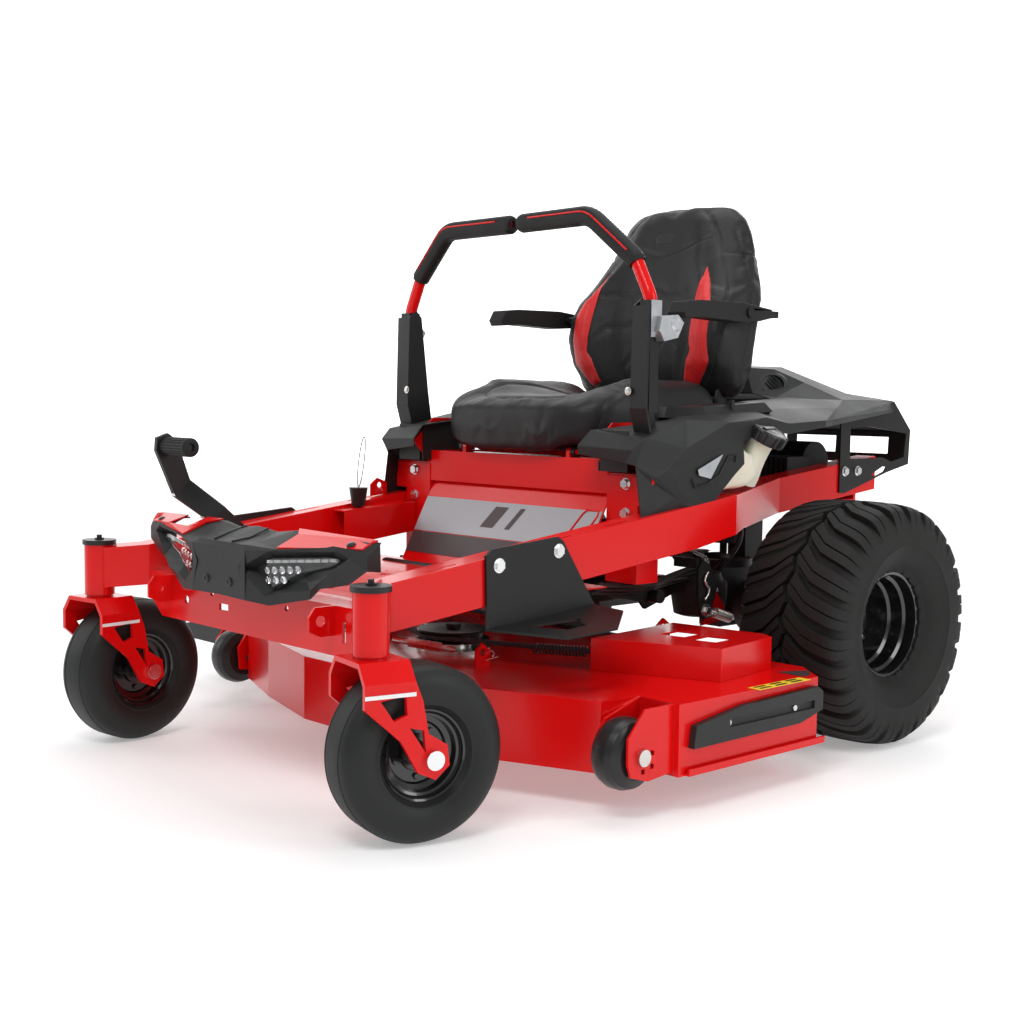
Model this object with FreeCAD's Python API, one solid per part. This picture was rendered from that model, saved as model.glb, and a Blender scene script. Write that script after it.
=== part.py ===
import FreeCAD, Part
import math
import os

V = FreeCAD.Vector

# Zero turn riding mower with a 48 inch deck. Millimetres.
# The machine faces -Y, the operator's left is +X, and +Z is up from the ground.
# It is drawn about the caster line (y = 0) and the centre line (x = 0), then moved
# by ORIGIN_X and ORIGIN_Y so that the origin is below the middle of its box.
ORIGIN_X = 113.0
ORIGIN_Y = -834.0

# Wheels
CASTER_X = 435.0            # spindle to centre line
CASTER_TRAIL = 74.0
CASTER_SWIVEL = {"left": -12.0, "right": 7.6}   # degrees at rest
FRONT_R = 139.7             # 11 x 4 - 5 tyre
FRONT_HALF = 51.0
FRONT_BEAD_R = 64.0
FRONT_LIP_R = 73.0
REAR_R = 243.0              # 20 x 10 - 8 tyre with its load on
REAR_HALF = 127.0
REAR_BEAD_R = 104.0
REAR_LIP_R = 115.0
REAR_X = 491.0
REAR_Y = 1187.0
SCALP_R = 60.0

# Frame
RAIL_OUT = 400.0            # outer face of the straight rail
RAIL_W = 51.0
RAIL_WALL = 4.0
TUBE_R = 28.5
TUBE_Z0 = 294.0
TUBE_Z1 = 392.0
SPINDLE_R = 12.7
RUN = 0.05                  # radial running clearance of a pin in its hole
RAIL_REAR = 1600.0
REAR_RAIL_OUT = 262.0
FLOOR_Z = 338.0
UPRIGHT_Y = 690.0
UPRIGHT_IN = 265.0

# Deck
DECK_X = 635.0
DECK_Z0 = 64.0
DECK_Z1 = 186.0
DECK_WALL = 5.0
SPINDLE_X = 400.0
SIDE_SPINDLE_Y = 705.0
MID_SPINDLE_Y = 535.0
BLADE_R = 209.0
CHUTE_AXIS_X = 644.0
CHUTE_REACH = 230.0

# Fuel tank filler neck
NECK_FOOT = (366.0, 992.0, 560.0)
NECK_AXIS = (0.5, 0.12, 0.86)

# Controls and seat
LEVER_X = 350.0
LEVER_PIVOT = (735.0, 575.0)      # y, z of the fore and aft pivot
SWING_PIVOT = (705.0, 668.0)      # y, z of the sideways pivot
SEAT_PIVOT = (702.0, 581.0)
ARM_X = 266.0
ARM_PIVOT = (1085.0, 872.0)
PEDAL_PIVOT = (160.0, 420.0)
PEDAL_X = -200.0
HEIGHT_PIN = (-330.0, 546.0)

nodes = {}


def box(x0, x1, y0, y1, z0, z1):
    lo = V(min(x0, x1), min(y0, y1), min(z0, z1))
    return Part.makeBox(abs(x1 - x0), abs(y1 - y0), abs(z1 - z0), lo)


def cyl(p, d, r, h):
    return Part.makeCylinder(r, h, V(*p), V(*d))


def ring(p, d, r_out, r_in, h):
    return cyl(p, d, r_out, h).cut(cyl(p, d, r_in, h))


def polygon(points):
    return Part.makePolygon([V(*p) for p in points] + [V(*points[0])])


def prism(points, run):
    return Part.Face(polygon(points)).extrude(V(*run))


def plate_x(points, x0, x1):
    """Plate with its outline in Y, Z between x0 and x1."""
    return prism([(x0, y, z) for y, z in points], (x1 - x0, 0, 0))


def plate_y(points, y0, y1):
    return prism([(x, y0, z) for x, z in points], (0, y1 - y0, 0))


def plate_z(points, z0, z1):
    return prism([(x, y, z0) for x, y in points], (0, 0, z1 - z0))


def fuse(shapes):
    out = shapes[0]
    if len(shapes) > 1:
        out = out.multiFuse(shapes[1:])
    return out.removeSplitter()


def group(shapes):
    return Part.makeCompound(shapes)


def mirror(shape):
    return shape.mirror(V(0, 0, 0), V(1, 0, 0))


def both(shape):
    """The shape and its mirror image on the other side of the machine."""
    return group([shape, mirror(shape)])


def hex_bolt(p, d, flat_r, head_h, shank_r, shank_l):
    """Bolt with its head outside the surface at p, pointing along d."""
    d = V(*d)
    head = Part.makeCylinder(flat_r * 1.25, 1.6, V(*p), d)
    side = V(0, 0, 1) if abs(d.z) < 0.9 else V(1, 0, 0)
    side.multiply(flat_r)
    turn = FreeCAD.Rotation(d, 60)
    corners = [side]
    for _ in range(5):
        corners.append(turn.multVec(corners[-1]))
    base = [V(*p) + c for c in corners]
    wire = Part.makePolygon(base + [base[0]])
    up = V(d)
    up.multiply(head_h)
    hexagon = Part.Face(wire).extrude(up)
    back = V(d).multiply(-1)
    shank = Part.makeCylinder(shank_r, shank_l, V(*p), back)
    return fuse([head, hexagon, shank])


def rounded_tube(points, r, bend_r):
    """Round bar through the points, with an arc of bend_r at each inner point."""
    pts = [V(*p) for p in points]
    edges = []
    start = pts[0]
    for i in range(1, len(pts) - 1):
        back = (pts[i - 1] - pts[i]).normalize()
        ahead = (pts[i + 1] - pts[i]).normalize()
        half = back.getAngle(ahead) / 2
        reach = bend_r / math.tan(half)
        a = pts[i] + V(back).multiply(reach)
        b = pts[i] + V(ahead).multiply(reach)
        centre_dir = (back + ahead).normalize()
        centre = pts[i] + V(centre_dir).multiply(bend_r / math.sin(half))
        mid = centre - V(centre_dir).multiply(bend_r)
        edges.append(Part.LineSegment(start, a).toShape())
        edges.append(Part.Arc(a, mid, b).toShape())
        start = b
    edges.append(Part.LineSegment(start, pts[-1]).toShape())
    path = Part.Wire(edges)
    ring_wire = Part.Wire(Part.makeCircle(r, pts[0], pts[1] - pts[0]))
    return path.makePipeShell([ring_wire], True, False)


def revolve_x(points, centre):
    """Solid of revolution about an axis along X; points are (x, radius)."""
    cx, cy, cz = centre
    pts = [V(cx + x, cy, cz + r) for x, r in points]
    face = Part.Face(Part.makePolygon(pts + [pts[0]]))
    return face.revolve(V(cx, cy, cz), V(1, 0, 0), 360)


def tyre(centre, r_out, half, r_bead, r_lip, bead_half):
    """Tyre section: square-shouldered crown, full sidewall, narrow bead."""
    r_mid = (r_out + r_bead) / 2 + 0.08 * r_out
    points = []
    steps = 28
    for i in range(steps + 1):
        t = -0.42 * math.pi + (1.84 * math.pi) * i / steps
        c = math.cos(t)
        s = math.sin(t)
        x = half * math.copysign(abs(c) ** 0.62, c)
        reach = r_out - r_mid if s > 0 else r_mid - r_bead - 4
        r = r_mid + reach * math.copysign(abs(s) ** 0.72, s)
        if r > r_lip + 3:
            points.append((x, r))
    points.append((-bead_half, r_lip + 1))
    points.append((-bead_half, r_bead))
    points.append((bead_half, r_bead))
    points.append((bead_half, r_lip + 1))
    return revolve_x(points, centre)


def rim(centre, r_bead, r_lip, bead_half, disc_x, hub_r, bore_r, side):
    """Pressed wheel: barrel, two rolled lips and a dished disc."""
    gap = 0.3
    wall = 3.0
    out = r_bead - gap
    lip = bead_half + gap
    half_ring = [
        (-lip - 6, r_lip), (-lip, r_lip), (-lip, out), (lip, out), (lip, r_lip),
        (lip + 6, r_lip), (lip + 6, r_lip - 4), (lip + wall, out - wall),
        (-lip - wall, out - wall), (-lip - 6, r_lip - 4),
    ]
    barrel = revolve_x(half_ring, centre)
    inner = out - wall + 0.5
    d = disc_x * side
    s = side
    disc = [
        (d, bore_r), (d + 4 * s, bore_r), (d + 4 * s, hub_r), (d + 14 * s, hub_r + 14),
        (d + 14 * s, inner), (d + 10 * s, inner), (d + 10 * s, hub_r + 14), (d, hub_r),
    ]
    return fuse([barrel, revolve_x(disc, centre)])


# ---------------------------------------------------------------- frame

def rail_outline(inset, rear):
    """Plan of the left rail: angled front end, straight side, inward step, rear."""
    out = RAIL_OUT - inset
    inn = RAIL_OUT - RAIL_W + inset
    rout = REAR_RAIL_OUT - inset
    rinn = REAR_RAIL_OUT - RAIL_W + inset
    front = 70.0 if inset else 66.0
    points = [(out, front), (out, 915), (rout, 1235), (rout, rear), (rinn, rear),
              (rinn, 1225), (inn, 905), (inn, front - 6)]
    if inset:
        return points
    return points + [(CASTER_X - 20, -14), (CASTER_X + 16, 18)]


def rail_side(inset):
    top = [(-40, 382), (915, 502), (1240, 520), (1700, 572)]
    low = [(1700, 495), (1240, 444), (960, 432), (800, 404), (-40, 305)]
    return [(y, z - inset) for y, z in top] + [(y, z + inset) for y, z in low]


def rail():
    body = plate_z(rail_outline(0, RAIL_REAR), 250, 600)
    body = body.common(plate_x(rail_side(0), 150, 500))
    hollow = plate_z(rail_outline(RAIL_WALL, RAIL_REAR + 1), 250, 600)
    hollow = hollow.common(plate_x(rail_side(RAIL_WALL), 150, 500))
    body = body.cut(hollow)
    tube = cyl((CASTER_X, 0, TUBE_Z0), (0, 0, 1), TUBE_R, TUBE_Z1 - TUBE_Z0)
    body = fuse([body, tube])
    bore = cyl((CASTER_X, 0, TUBE_Z0 - 1), (0, 0, 1), SPINDLE_R + RUN, 100)
    body = body.cut(bore)
    for y in (150, 270, 420, 560):
        body = body.cut(box(381, 387, y, y + 62, 380, 480))
    for y in (1470, 1520):
        body = body.cut(cyl((200, y, 528), (1, 0, 0), 5.5, 80))
    return body


def frame():
    left = rail()
    nodes["left_rail"] = left
    pin_x, pin_y = HEIGHT_PIN
    side = plate_x([(494, 440), (494, 380), (520, 372), (686, 392), (686, 452)], -311, -308)
    roof = plate_x([(494, 440), (494, 444), (686, 456), (686, 452)], -349, -308)
    roof = roof.cut(cyl((pin_x, pin_y, 380), (0, 0, 1), 6 + RUN, 100))
    ledge = box(-349, -308, 520, 570, 396, 400).cut(
        cyl((pin_x, pin_y, 380), (0, 0, 1), 6 + RUN, 100))
    eyelet = plate_x([(616, 466), (660, 470), (660, 496), (634, 506), (616, 492)], -382, -378)
    eyelet = eyelet.cut(cyl((-390, 640, 490), (1, 0, 0), 6, 16))
    nodes["right_rail"] = fuse([mirror(left), side, roof, ledge, eyelet])


def crossmember():
    plate = plate_y([(-348, 345), (-348, 300), (-300, 262), (300, 262), (348, 300), (348, 345)],
                    60, 65)
    for x in (-210, 190):
        plate = plate.cut(cyl((x, 50, 303), (0, 1, 0), 8, 30))
    for x, w, h in ((-285, 9, 26), (-80, 30, 12), (285, 9, 34)):
        plate = plate.cut(box(x - w / 2, x + w / 2, 50, 70, 303 - h / 2, 303 + h / 2))
    for x in (-120, 120):
        plate = plate.cut(cyl((x, 50, 324), (0, 1, 0), 5.5, 30))
    shelf = box(-348, 348, 65, 112, 345 - 5, 345)
    ear = plate_x([(62, 345), (20, 345), (8, 330), (8, 306), (30, 296), (62, 296)], -262, -257)
    ear = ear.cut(cyl((-270, 30, 322), (1, 0, 0), 9, 20))
    nodes["front_crossmember"] = fuse([plate, shelf, ear, mirror(ear)])


def foot_pan():
    side = [(113, 345), (150, FLOOR_Z + 3), (612, FLOOR_Z + 3), (612, FLOOR_Z),
            (150, FLOOR_Z), (113, 342)]
    pan = plate_x(side, -344, 344)
    for x in (-250, -150, -50, 50, 150, 250):
        for y in (200, 300, 400):
            pan = pan.cut(cyl((x, y, FLOOR_Z - 5), (0, 0, 1), 9, 20))
    nodes["foot_pan"] = pan


def seat_support():
    post = box(UPRIGHT_IN, 345, UPRIGHT_Y, UPRIGHT_Y + 60, FLOOR_Z, 541)
    post = post.cut(box(UPRIGHT_IN + 4, 341, UPRIGHT_Y + 4, UPRIGHT_Y + 61, FLOOR_Z + 4, 537))
    wing = box(341, 380, UPRIGHT_Y, UPRIGHT_Y + 60, 486, 541)
    wing = wing.cut(box(340, 376, UPRIGHT_Y + 4, UPRIGHT_Y + 61, 490, 537))
    shelf = box(UPRIGHT_IN, 380, UPRIGHT_Y + 4, 800, 541, 545)
    cheek = plate_x([(645, 592), (690, 545), (800, 545), (800, 640), (700, 640)], 265, 269)
    half = fuse([post, wing, shelf, cheek])
    for z in (526, 470):
        half = half.cut(cyl((315, UPRIGHT_Y - 1, z), (0, 1, 0), 5.2, 10))
    beam = box(-UPRIGHT_IN, UPRIGHT_IN, UPRIGHT_Y + 2, UPRIGHT_Y + 48, 505, 570)
    beam = beam.cut(box(-260, 260, UPRIGHT_Y + 6, UPRIGHT_Y + 49, 509, 566))
    rear_bar = box(-UPRIGHT_IN, UPRIGHT_IN, 1010, 1040, 530, 570)
    rear_bar = rear_bar.cut(box(-260, 260, 1014, 1041, 534, 566))
    strut = box(UPRIGHT_IN - 26, UPRIGHT_IN, UPRIGHT_Y + 48, 1010, 548, 570)
    hy, hz = SEAT_PIVOT
    ear = fuse([box(150, 160, hy - 9, hy + 9, 569, hz), cyl((150, hy, hz), (1, 0, 0), 9, 10)])
    hinge = fuse([ear, cyl((150, hy, hz), (1, 0, 0), 5, 24)])
    lever_pin = cyl((268, LEVER_PIVOT[0], LEVER_PIVOT[1]), (1, 0, 0), 8, 110)
    half = fuse([half, strut, hinge, lever_pin])
    nodes["seat_support"] = fuse([half, mirror(half), beam, rear_bar])


def riser_panel():
    side = [(612.5, FLOOR_Z), (616, FLOOR_Z), (706, 504.5), (702, 504.5)]
    panel = plate_x(side, -264, 264)
    slot = plate_y([(192, 400), (222, 400), (248, 466), (216, 466)], 600, 720)
    nodes["riser_panel"] = panel.cut(slot)


def engine_plate():
    plate = plate_z([(-210.5, 1085), (210.5, 1085), (210.5, 1590), (-210.5, 1590)], 452, 458)
    plate = plate.cut(cyl((0, 1330, 440), (0, 0, 1), 30, 40))
    bar = box(-210.5, 210.5, 1590, RAIL_REAR, 452, 540)
    for x in (-150, 150):
        bar = bar.cut(cyl((x, 1580, 505), (0, 1, 0), 6.5, 40))
    nodes["engine_plate"] = fuse([plate, bar])


def step_plates():
    face = plate_x([(262, 304), (258, 426), (272, 436), (424, 448), (436, 440), (516, 322)],
                   RAIL_OUT + 1.0, RAIL_OUT + 6.0)
    toe = plate_z([(401, 262), (401, 516), (450, 540), (505, 470), (497, 360)], 300, 304.5)
    hole = plate_z([(425, 330), (470, 385), (470, 435), (440, 440)], 290, 320)
    toe = toe.cut(hole)
    toe.rotate(V(401, 262, 304), V(1, 0, 0), 4.5)
    toe.rotate(V(401, 262, 304), V(0, 1, 0), 12)
    plate = fuse([face, toe])
    for y, z in ((286, 408), (424, 424)):
        plate = plate.cut(cyl((390, y, z), (1, 0, 0), 5.2, 30))
    nodes["step_plates"] = both(plate)


def lamp_plane(x):
    """Depth of the front moulding beside its flat centre, where the lamps look slightly outward."""
    return (x - 85) * 60 / 255


def wedge(x0, x1, near, far, low=330, high=460):
    """Slab parallel to the lamp plane, from near to far behind it."""
    return plate_z([(x0, lamp_plane(x0) + near), (x1, lamp_plane(x1) + near),
                    (x1, lamp_plane(x1) + far), (x0, lamp_plane(x0) + far)], low, high)


def headlight_panel():
    """Faceted moulding across the front, with a lamp opening on each side."""
    half = plate_z([(0, 0), (85, 0), (345, lamp_plane(345)), (345, 92), (0, 92)], 334, 452)
    profile = plate_x([(0, 334), (0, 424), (75, 452), (92, 452), (92, 334)], 0, 345)
    low_corner = plate_y([(140, 330), (220, 352), (240, 371), (299, 382), (345, 404), (350, 404),
                          (350, 320), (140, 320)], -10, 130)
    half = half.common(profile).cut(low_corner)
    inner = plate_z([(-1, 7), (85, 7), (337, lamp_plane(337) + 7), (337, 121), (-1, 121)], 320, 445)
    inner_profile = plate_x([(7, 320), (7, 417), (74, 444), (121, 444), (121, 320)], -1, 337)
    half = half.cut(inner.common(inner_profile))
    opening = [(122, 356), (118, 392), (130, 417), (256, 426), (284, 422), (256, 406), (194, 392), (167, 367)]
    half = half.cut(plate_y(opening, -20, 85))
    pedal_slot = box(PEDAL_X - 44, PEDAL_X + 22, 45, 100, 400, 460)
    panel = fuse([half, mirror(half)]).cut(pedal_slot)
    for x in (-37, 37):
        panel = panel.cut(cyl((x, -10, 365), (0, 1, 0), 4, 30))
    nodes["headlight_panel"] = panel
    window = plate_y([(123, 358), (119.5, 391.5), (131, 416), (256, 425), (281, 421.5), (255.5, 407),
                      (193.5, 393), (166.5, 368.5)], -20, 85)
    flange = plate_y([(116, 351), (113, 392), (127, 421), (256, 430), (292, 425), (258, 402),
                      (197, 388), (171, 361)], -20, 85)
    lens = fuse([window.common(wedge(100, 330, 1, 7)), flange.common(wedge(100, 330, 7, 10))])
    nodes["headlight_lenses"] = both(lens)
    slope = plate_x([(0, 424.5), (75, 452.5), (88, 452.5), (88, 456), (74, 456), (0, 428.3)], 100, 345)
    outline = plate_z([(150, 18), (335, 60), (342, 75), (342, 88), (116, 88), (147, 66)], 400, 480)
    top = slope.common(outline).cut(cyl((301, 68, 430), (0, 0, 1), 5, 40))
    nodes["panel_top_plates"] = group([top, mirror(top).cut(pedal_slot)])


def guard():
    """Rear guard plates, bolted outside the rails and tied across the back."""
    side = plate_x([(1452, 640), (1452, 480), (1470, 478), (1644, 522), (1732, 539),
                    (1737, 620), (1664, 688), (1560, 662), (1452, 655)], 262.5, 266.5)
    window = plate_x([(1490, 556), (1626, 556), (1660, 546), (1712, 556), (1720, 612), (1560, 630),
                      (1490, 626)], 255, 275)
    side = side.cut(window)
    for y in (1470, 1520):
        side = side.cut(cyl((255, y, 528), (1, 0, 0), 5.2, 20))
    slot = plate_x([(1580, 519), (1590, 512), (1630, 524), (1640, 534), (1624, 536)], 250, 280)
    side = side.cut(slot)
    top = plate_x([(1664, 688), (1664, 683), (1737, 615), (1737, 620)], -262.5, 262.5)
    rear = plate_x([(1737, 620), (1733, 615), (1728, 539), (1732, 539)], -262.5, 262.5)
    for x in (-150, 0, 150):
        rear = rear.cut(box(x - 60, x + 60, 1700, 1760, 562, 602))
    nodes["rear_guard"] = fuse([side, mirror(side), top, rear])


# ---------------------------------------------------------------- plastics

def pods():
    outer = plate_x([(628, 590), (640, 612), (800, 650), (800, 545.5), (680, 545.5)], 269.5, 384)
    cavity = plate_x([(645, 592), (650, 604), (797, 660), (797, 549), (690, 549)], 266, 380)
    mouth = box(272, 380, 668, 790, 549, 700)
    pod = outer.cut(cavity.common(box(262, 380, 640, 797, 549, 700))).cut(mouth)
    nodes["control_pods"] = both(pod)


def fenders():
    """Side and rear deck mouldings over the rails and rear wheels."""
    side_out = [(640, 470), (636, 520), (655, 560), (801, 600), (801, 650), (930, 664),
                (1110, 672), (1300, 664), (1560, 668), (1664, 690), (1700, 655), (1690, 640),
                (1310, 612), (1130, 600), (1010, 606), (950, 610), (905, 560), (845, 508),
                (800, 494), (760, 490)]
    wall = plate_x(side_out, 386, 390)
    top = plate_x([(801, 646), (930, 660), (1110, 668), (1300, 660), (1560, 664), (1660, 686),
                   (1660, 682), (1560, 660), (1300, 656), (1110, 664), (930, 656), (801, 642)],
                  268, 390)
    deck = top.cut(plate_z([(270, 1600), (430, 1600), (430, 1500)], 600, 700))
    shape = fuse([wall, deck])
    trim = plate_z([(391, 1400), (391, 1700), (260, 1700), (262, 1664)], 560, 720)
    shape = shape.cut(trim)
    shape = shape.cut(cyl(NECK_FOOT, NECK_AXIS, 52, 180))
    tray = plate_z([(275, 812), (340, 868), (340, 1080), (275, 1090)], 655, 680)
    shape = fuse([shape, tray])
    clear_box = box(-405, -300, 600, 694, 440, 496)
    nodes["fenders"] = group([shape, mirror(shape).cut(clear_box)])


def fuel_tank():
    side = [(830, 520), (880, 506), (960, 512), (1000, 532), (1010, 560), (1035, 584),
            (985, 590), (945, 600), (900, 640), (830, 640)]
    body = plate_x(side, 272, 384)
    neck = cyl(NECK_FOOT, NECK_AXIS, 24, 56)
    tank = fuse([body, neck])
    hollow = plate_x([(834, 524), (880, 510), (958, 516), (996, 535), (985, 560), (940, 590),
                      (896, 636), (834, 636)], 276, 380)
    nodes["fuel_tank"] = tank.cut(hollow)
    cap_axis = V(*NECK_AXIS).normalize()
    mouth = V(*NECK_FOOT) + V(cap_axis).multiply(56.4)
    cap = Part.makeCylinder(41, 27, mouth, cap_axis)
    grips = []
    for i in range(10):
        turn = FreeCAD.Rotation(cap_axis, 36 * i)
        out = turn.multVec(V(cap_axis.z, 0, -cap_axis.x).normalize())
        spot = mouth + V(out).multiply(42) + V(cap_axis).multiply(3)
        grips.append(Part.makeCylinder(3.2, 20, spot, cap_axis))
    nodes["fuel_cap"] = cap.multiFuse(grips).removeSplitter()


def engine_hood():
    """Faceted cover over the engine, open below."""
    def hood(inset, z_low):
        w = 262.0 - inset
        rows = [(1150, w, 664 - inset), (1230, w - 60, 700 - inset), (1350, w - 90, 756 - inset),
                (1480, w - 96, 750 - inset), (1620, w - 110, 722 - inset),
                (1655 - inset, w - 40, 676 - inset)]
        wires = []
        for y, half, z in rows:
            pts = [(-w, z_low), (-w, 650 - inset), (-half, z), (half, z), (w, 650 - inset),
                   (w, z_low)]
            pts = [V(x, y, zz) for x, zz in pts]
            wires.append(Part.makePolygon(pts + [pts[0]]))
        return Part.makeLoft(wires, True, True)
    shell = hood(0, 600).cut(hood(4, 590))
    vent = cyl((120, 1290, 600), (0.3, -0.45, 1), 34, 300)
    vent = vent.cut(cyl((120, 1290, 590), (0.3, -0.45, 1), 12, 320))
    nodes["engine_hood"] = shell.cut(vent)


# ---------------------------------------------------------------- engine and drive

def engine():
    crank = box(-120, 120, 1200, 1440, 458, 560)
    blower = cyl((0, 1320, 560), (0, 0, 1), 122, 62)
    screen = cyl((0, 1320, 622), (0, 0, 1), 96, 14)
    parts = [crank, blower, screen]
    for side in (-1, 1):
        barrel = box(side * 110, side * 196, 1350, 1440, 480, 560)
        for i in range(5):
            x = side * (126 + 14 * i)
            barrel = barrel.cut(box(x, x + side * 6, 1340, 1360, 470, 570))
            barrel = barrel.cut(box(x, x + side * 6, 1430, 1450, 470, 570))
        parts.append(barrel)
    shaft = cyl((0, 1330, 372), (0, 0, 1), 12.7, 90)
    parts.append(shaft)
    parts.append(ring((0, 1330, 372), (0, 0, 1), 60, 12, 36))
    engine_body = fuse(parts)
    muffler = cyl((-150, 1520, 540), (1, 0, 0), 52, 300)
    pipe = ring((40, 1556, 562), (0, 1, 0), 17, 14, 90)
    nodes["engine"] = group([engine_body, fuse([muffler, pipe])])


def transaxles():
    case = box(150, 208, 1110, 1260, 200, 330)
    boss = cyl((208, REAR_Y, REAR_R), (1, 0, 0), 46, 120)
    case = fuse([case, boss, cyl((180, 1150, 330), (0, 0, 1), 62, 16),
                 cyl((180, 1150, 346), (0, 0, 1), 8, 60), cyl((180, 1150, 380), (0, 0, 1), 40, 16),
                 box(160, 208, 1190, 1250, 330, 452)])
    case = case.cut(cyl((200, REAR_Y, REAR_R), (1, 0, 0), 15 + RUN, 200))
    nodes["transaxles"] = both(case)


def rear_wheels():
    centre = (REAR_X, REAR_Y, REAR_R)
    tyre_solid = tyre(centre, REAR_R, REAR_HALF, REAR_BEAD_R, REAR_LIP_R, 88)
    wheel = rim(centre, REAR_BEAD_R, REAR_LIP_R, 88, -30, 52, 14, 1)
    hub = cyl((330, REAR_Y, REAR_R), (1, 0, 0), 38, REAR_X - 30 - 330)
    shaft = cyl((215, REAR_Y, REAR_R), (1, 0, 0), 15, REAR_X - 20 - 215)
    wheel = fuse([wheel, hub, shaft])
    nuts = []
    for i in range(4):
        a = math.radians(45 + 90 * i)
        y = REAR_Y + 44 * math.cos(a)
        z = REAR_R + 44 * math.sin(a)
        nuts.append(cyl((REAR_X - 27, y, z), (1, 0, 0), 9, 12))
        nuts.append(cyl((REAR_X - 15, y, z), (1, 0, 0), 5, 8))
    wheel = fuse([wheel] + nuts)
    nodes["left_rear_tyre"] = tyre_solid
    nodes["left_rear_rim"] = wheel
    nodes["right_rear_tyre"] = mirror(tyre_solid)
    nodes["right_rear_rim"] = mirror(wheel)


# ---------------------------------------------------------------- casters

FORK_IN = 57.5
FORK_T = 8.0
FORK_TOP = 291.0


def caster(side):
    """Fork, wheel and axle drawn with the spindle at the origin, then swivelled."""
    out = FORK_IN + FORK_T
    arch = [(-out, 90), (-out, 262), (-44, FORK_TOP), (44, FORK_TOP), (out, 262), (out, 90),
            (FORK_IN, 90), (FORK_IN, 259), (40.7, FORK_TOP - FORK_T),
            (-40.7, FORK_TOP - FORK_T), (-FORK_IN, 259), (-FORK_IN, 90)]
    strip = plate_y(arch, -60, 130)
    outline = [(-40, 300), (-40, 225), (20, 172), (48, 122), (78, 108), (102, 128), (98, 160),
               (66, 180), (56, 232), (44, 262), (44, 300)]
    fork = strip.common(plate_x(outline, -90, 90))
    window = plate_x([(-14, 236), (28, 242), (30, 212), (8, 204)], -90, 90)
    slit = plate_x([(34, 192), (58, 186), (62, 150)], -90, 90)
    fork = fork.cut(window.common(box(-90, 90, -60, 130, 100, 256))).cut(slit)
    axle_hole = cyl((-90, CASTER_TRAIL, FRONT_R), (1, 0, 0), 9.5, 180)
    fork = fork.cut(axle_hole)
    spindle = cyl((0, 0, FORK_TOP - 1), (0, 0, 1), SPINDLE_R, TUBE_Z1 - FORK_TOP)
    collar = cyl((0, 0, FORK_TOP - 0.5), (0, 0, 1), 25, TUBE_Z0 - FORK_TOP + 0.3)
    fork = fuse([fork, spindle, collar])
    centre = (0, CASTER_TRAIL, FRONT_R)
    tyre_solid = tyre(centre, FRONT_R, FRONT_HALF, FRONT_BEAD_R, FRONT_LIP_R, 28)
    wheel = rim(centre, FRONT_BEAD_R, FRONT_LIP_R, 28, -2, 26, 20, 1)
    hub = cyl((-50, CASTER_TRAIL, FRONT_R), (1, 0, 0), 22, 100)
    hub = hub.cut(cyl((-60, CASTER_TRAIL, FRONT_R), (1, 0, 0), 9.5 + RUN, 120))
    wheel = fuse([wheel, hub])
    axle = cyl((-out - 1, CASTER_TRAIL, FRONT_R), (1, 0, 0), 9.5, 2 * out + 2)
    head = cyl((out, CASTER_TRAIL, FRONT_R), (1, 0, 0), 15, 9)
    nut = cyl((-out - 11, CASTER_TRAIL, FRONT_R), (1, 0, 0), 14, 11)
    stud = cyl((-out - 22, CASTER_TRAIL, FRONT_R), (1, 0, 0), 8, 12)
    axle = fuse([axle, head, nut, stud])
    x = CASTER_X if side == "left" else -CASTER_X
    for name, shape in (("fork", fork), ("tyre", tyre_solid), ("rim", wheel), ("axle", axle)):
        placed = shape.copy()
        placed.rotate(V(0, 0, 0), V(0, 0, 1), CASTER_SWIVEL[side])
        placed.translate(V(x, 0, 0))
        nodes[side + "_caster_" + name] = placed


def caster_caps():
    cap = fuse([cyl((CASTER_X, 0, TUBE_Z1), (0, 0, 1), 32, 9),
                cyl((CASTER_X, 0, TUBE_Z1 + 9), (0, 0, 1), 9, 3),
                cyl((CASTER_X, 0, TUBE_Z1 + 12), (0, 0, 1), 5, 6)])
    cap = cap.cut(cyl((CASTER_X, 0, TUBE_Z1 - 1), (0, 0, 1), 20, 5))
    nodes["caster_caps"] = both(cap)


# ---------------------------------------------------------------- seat

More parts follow.
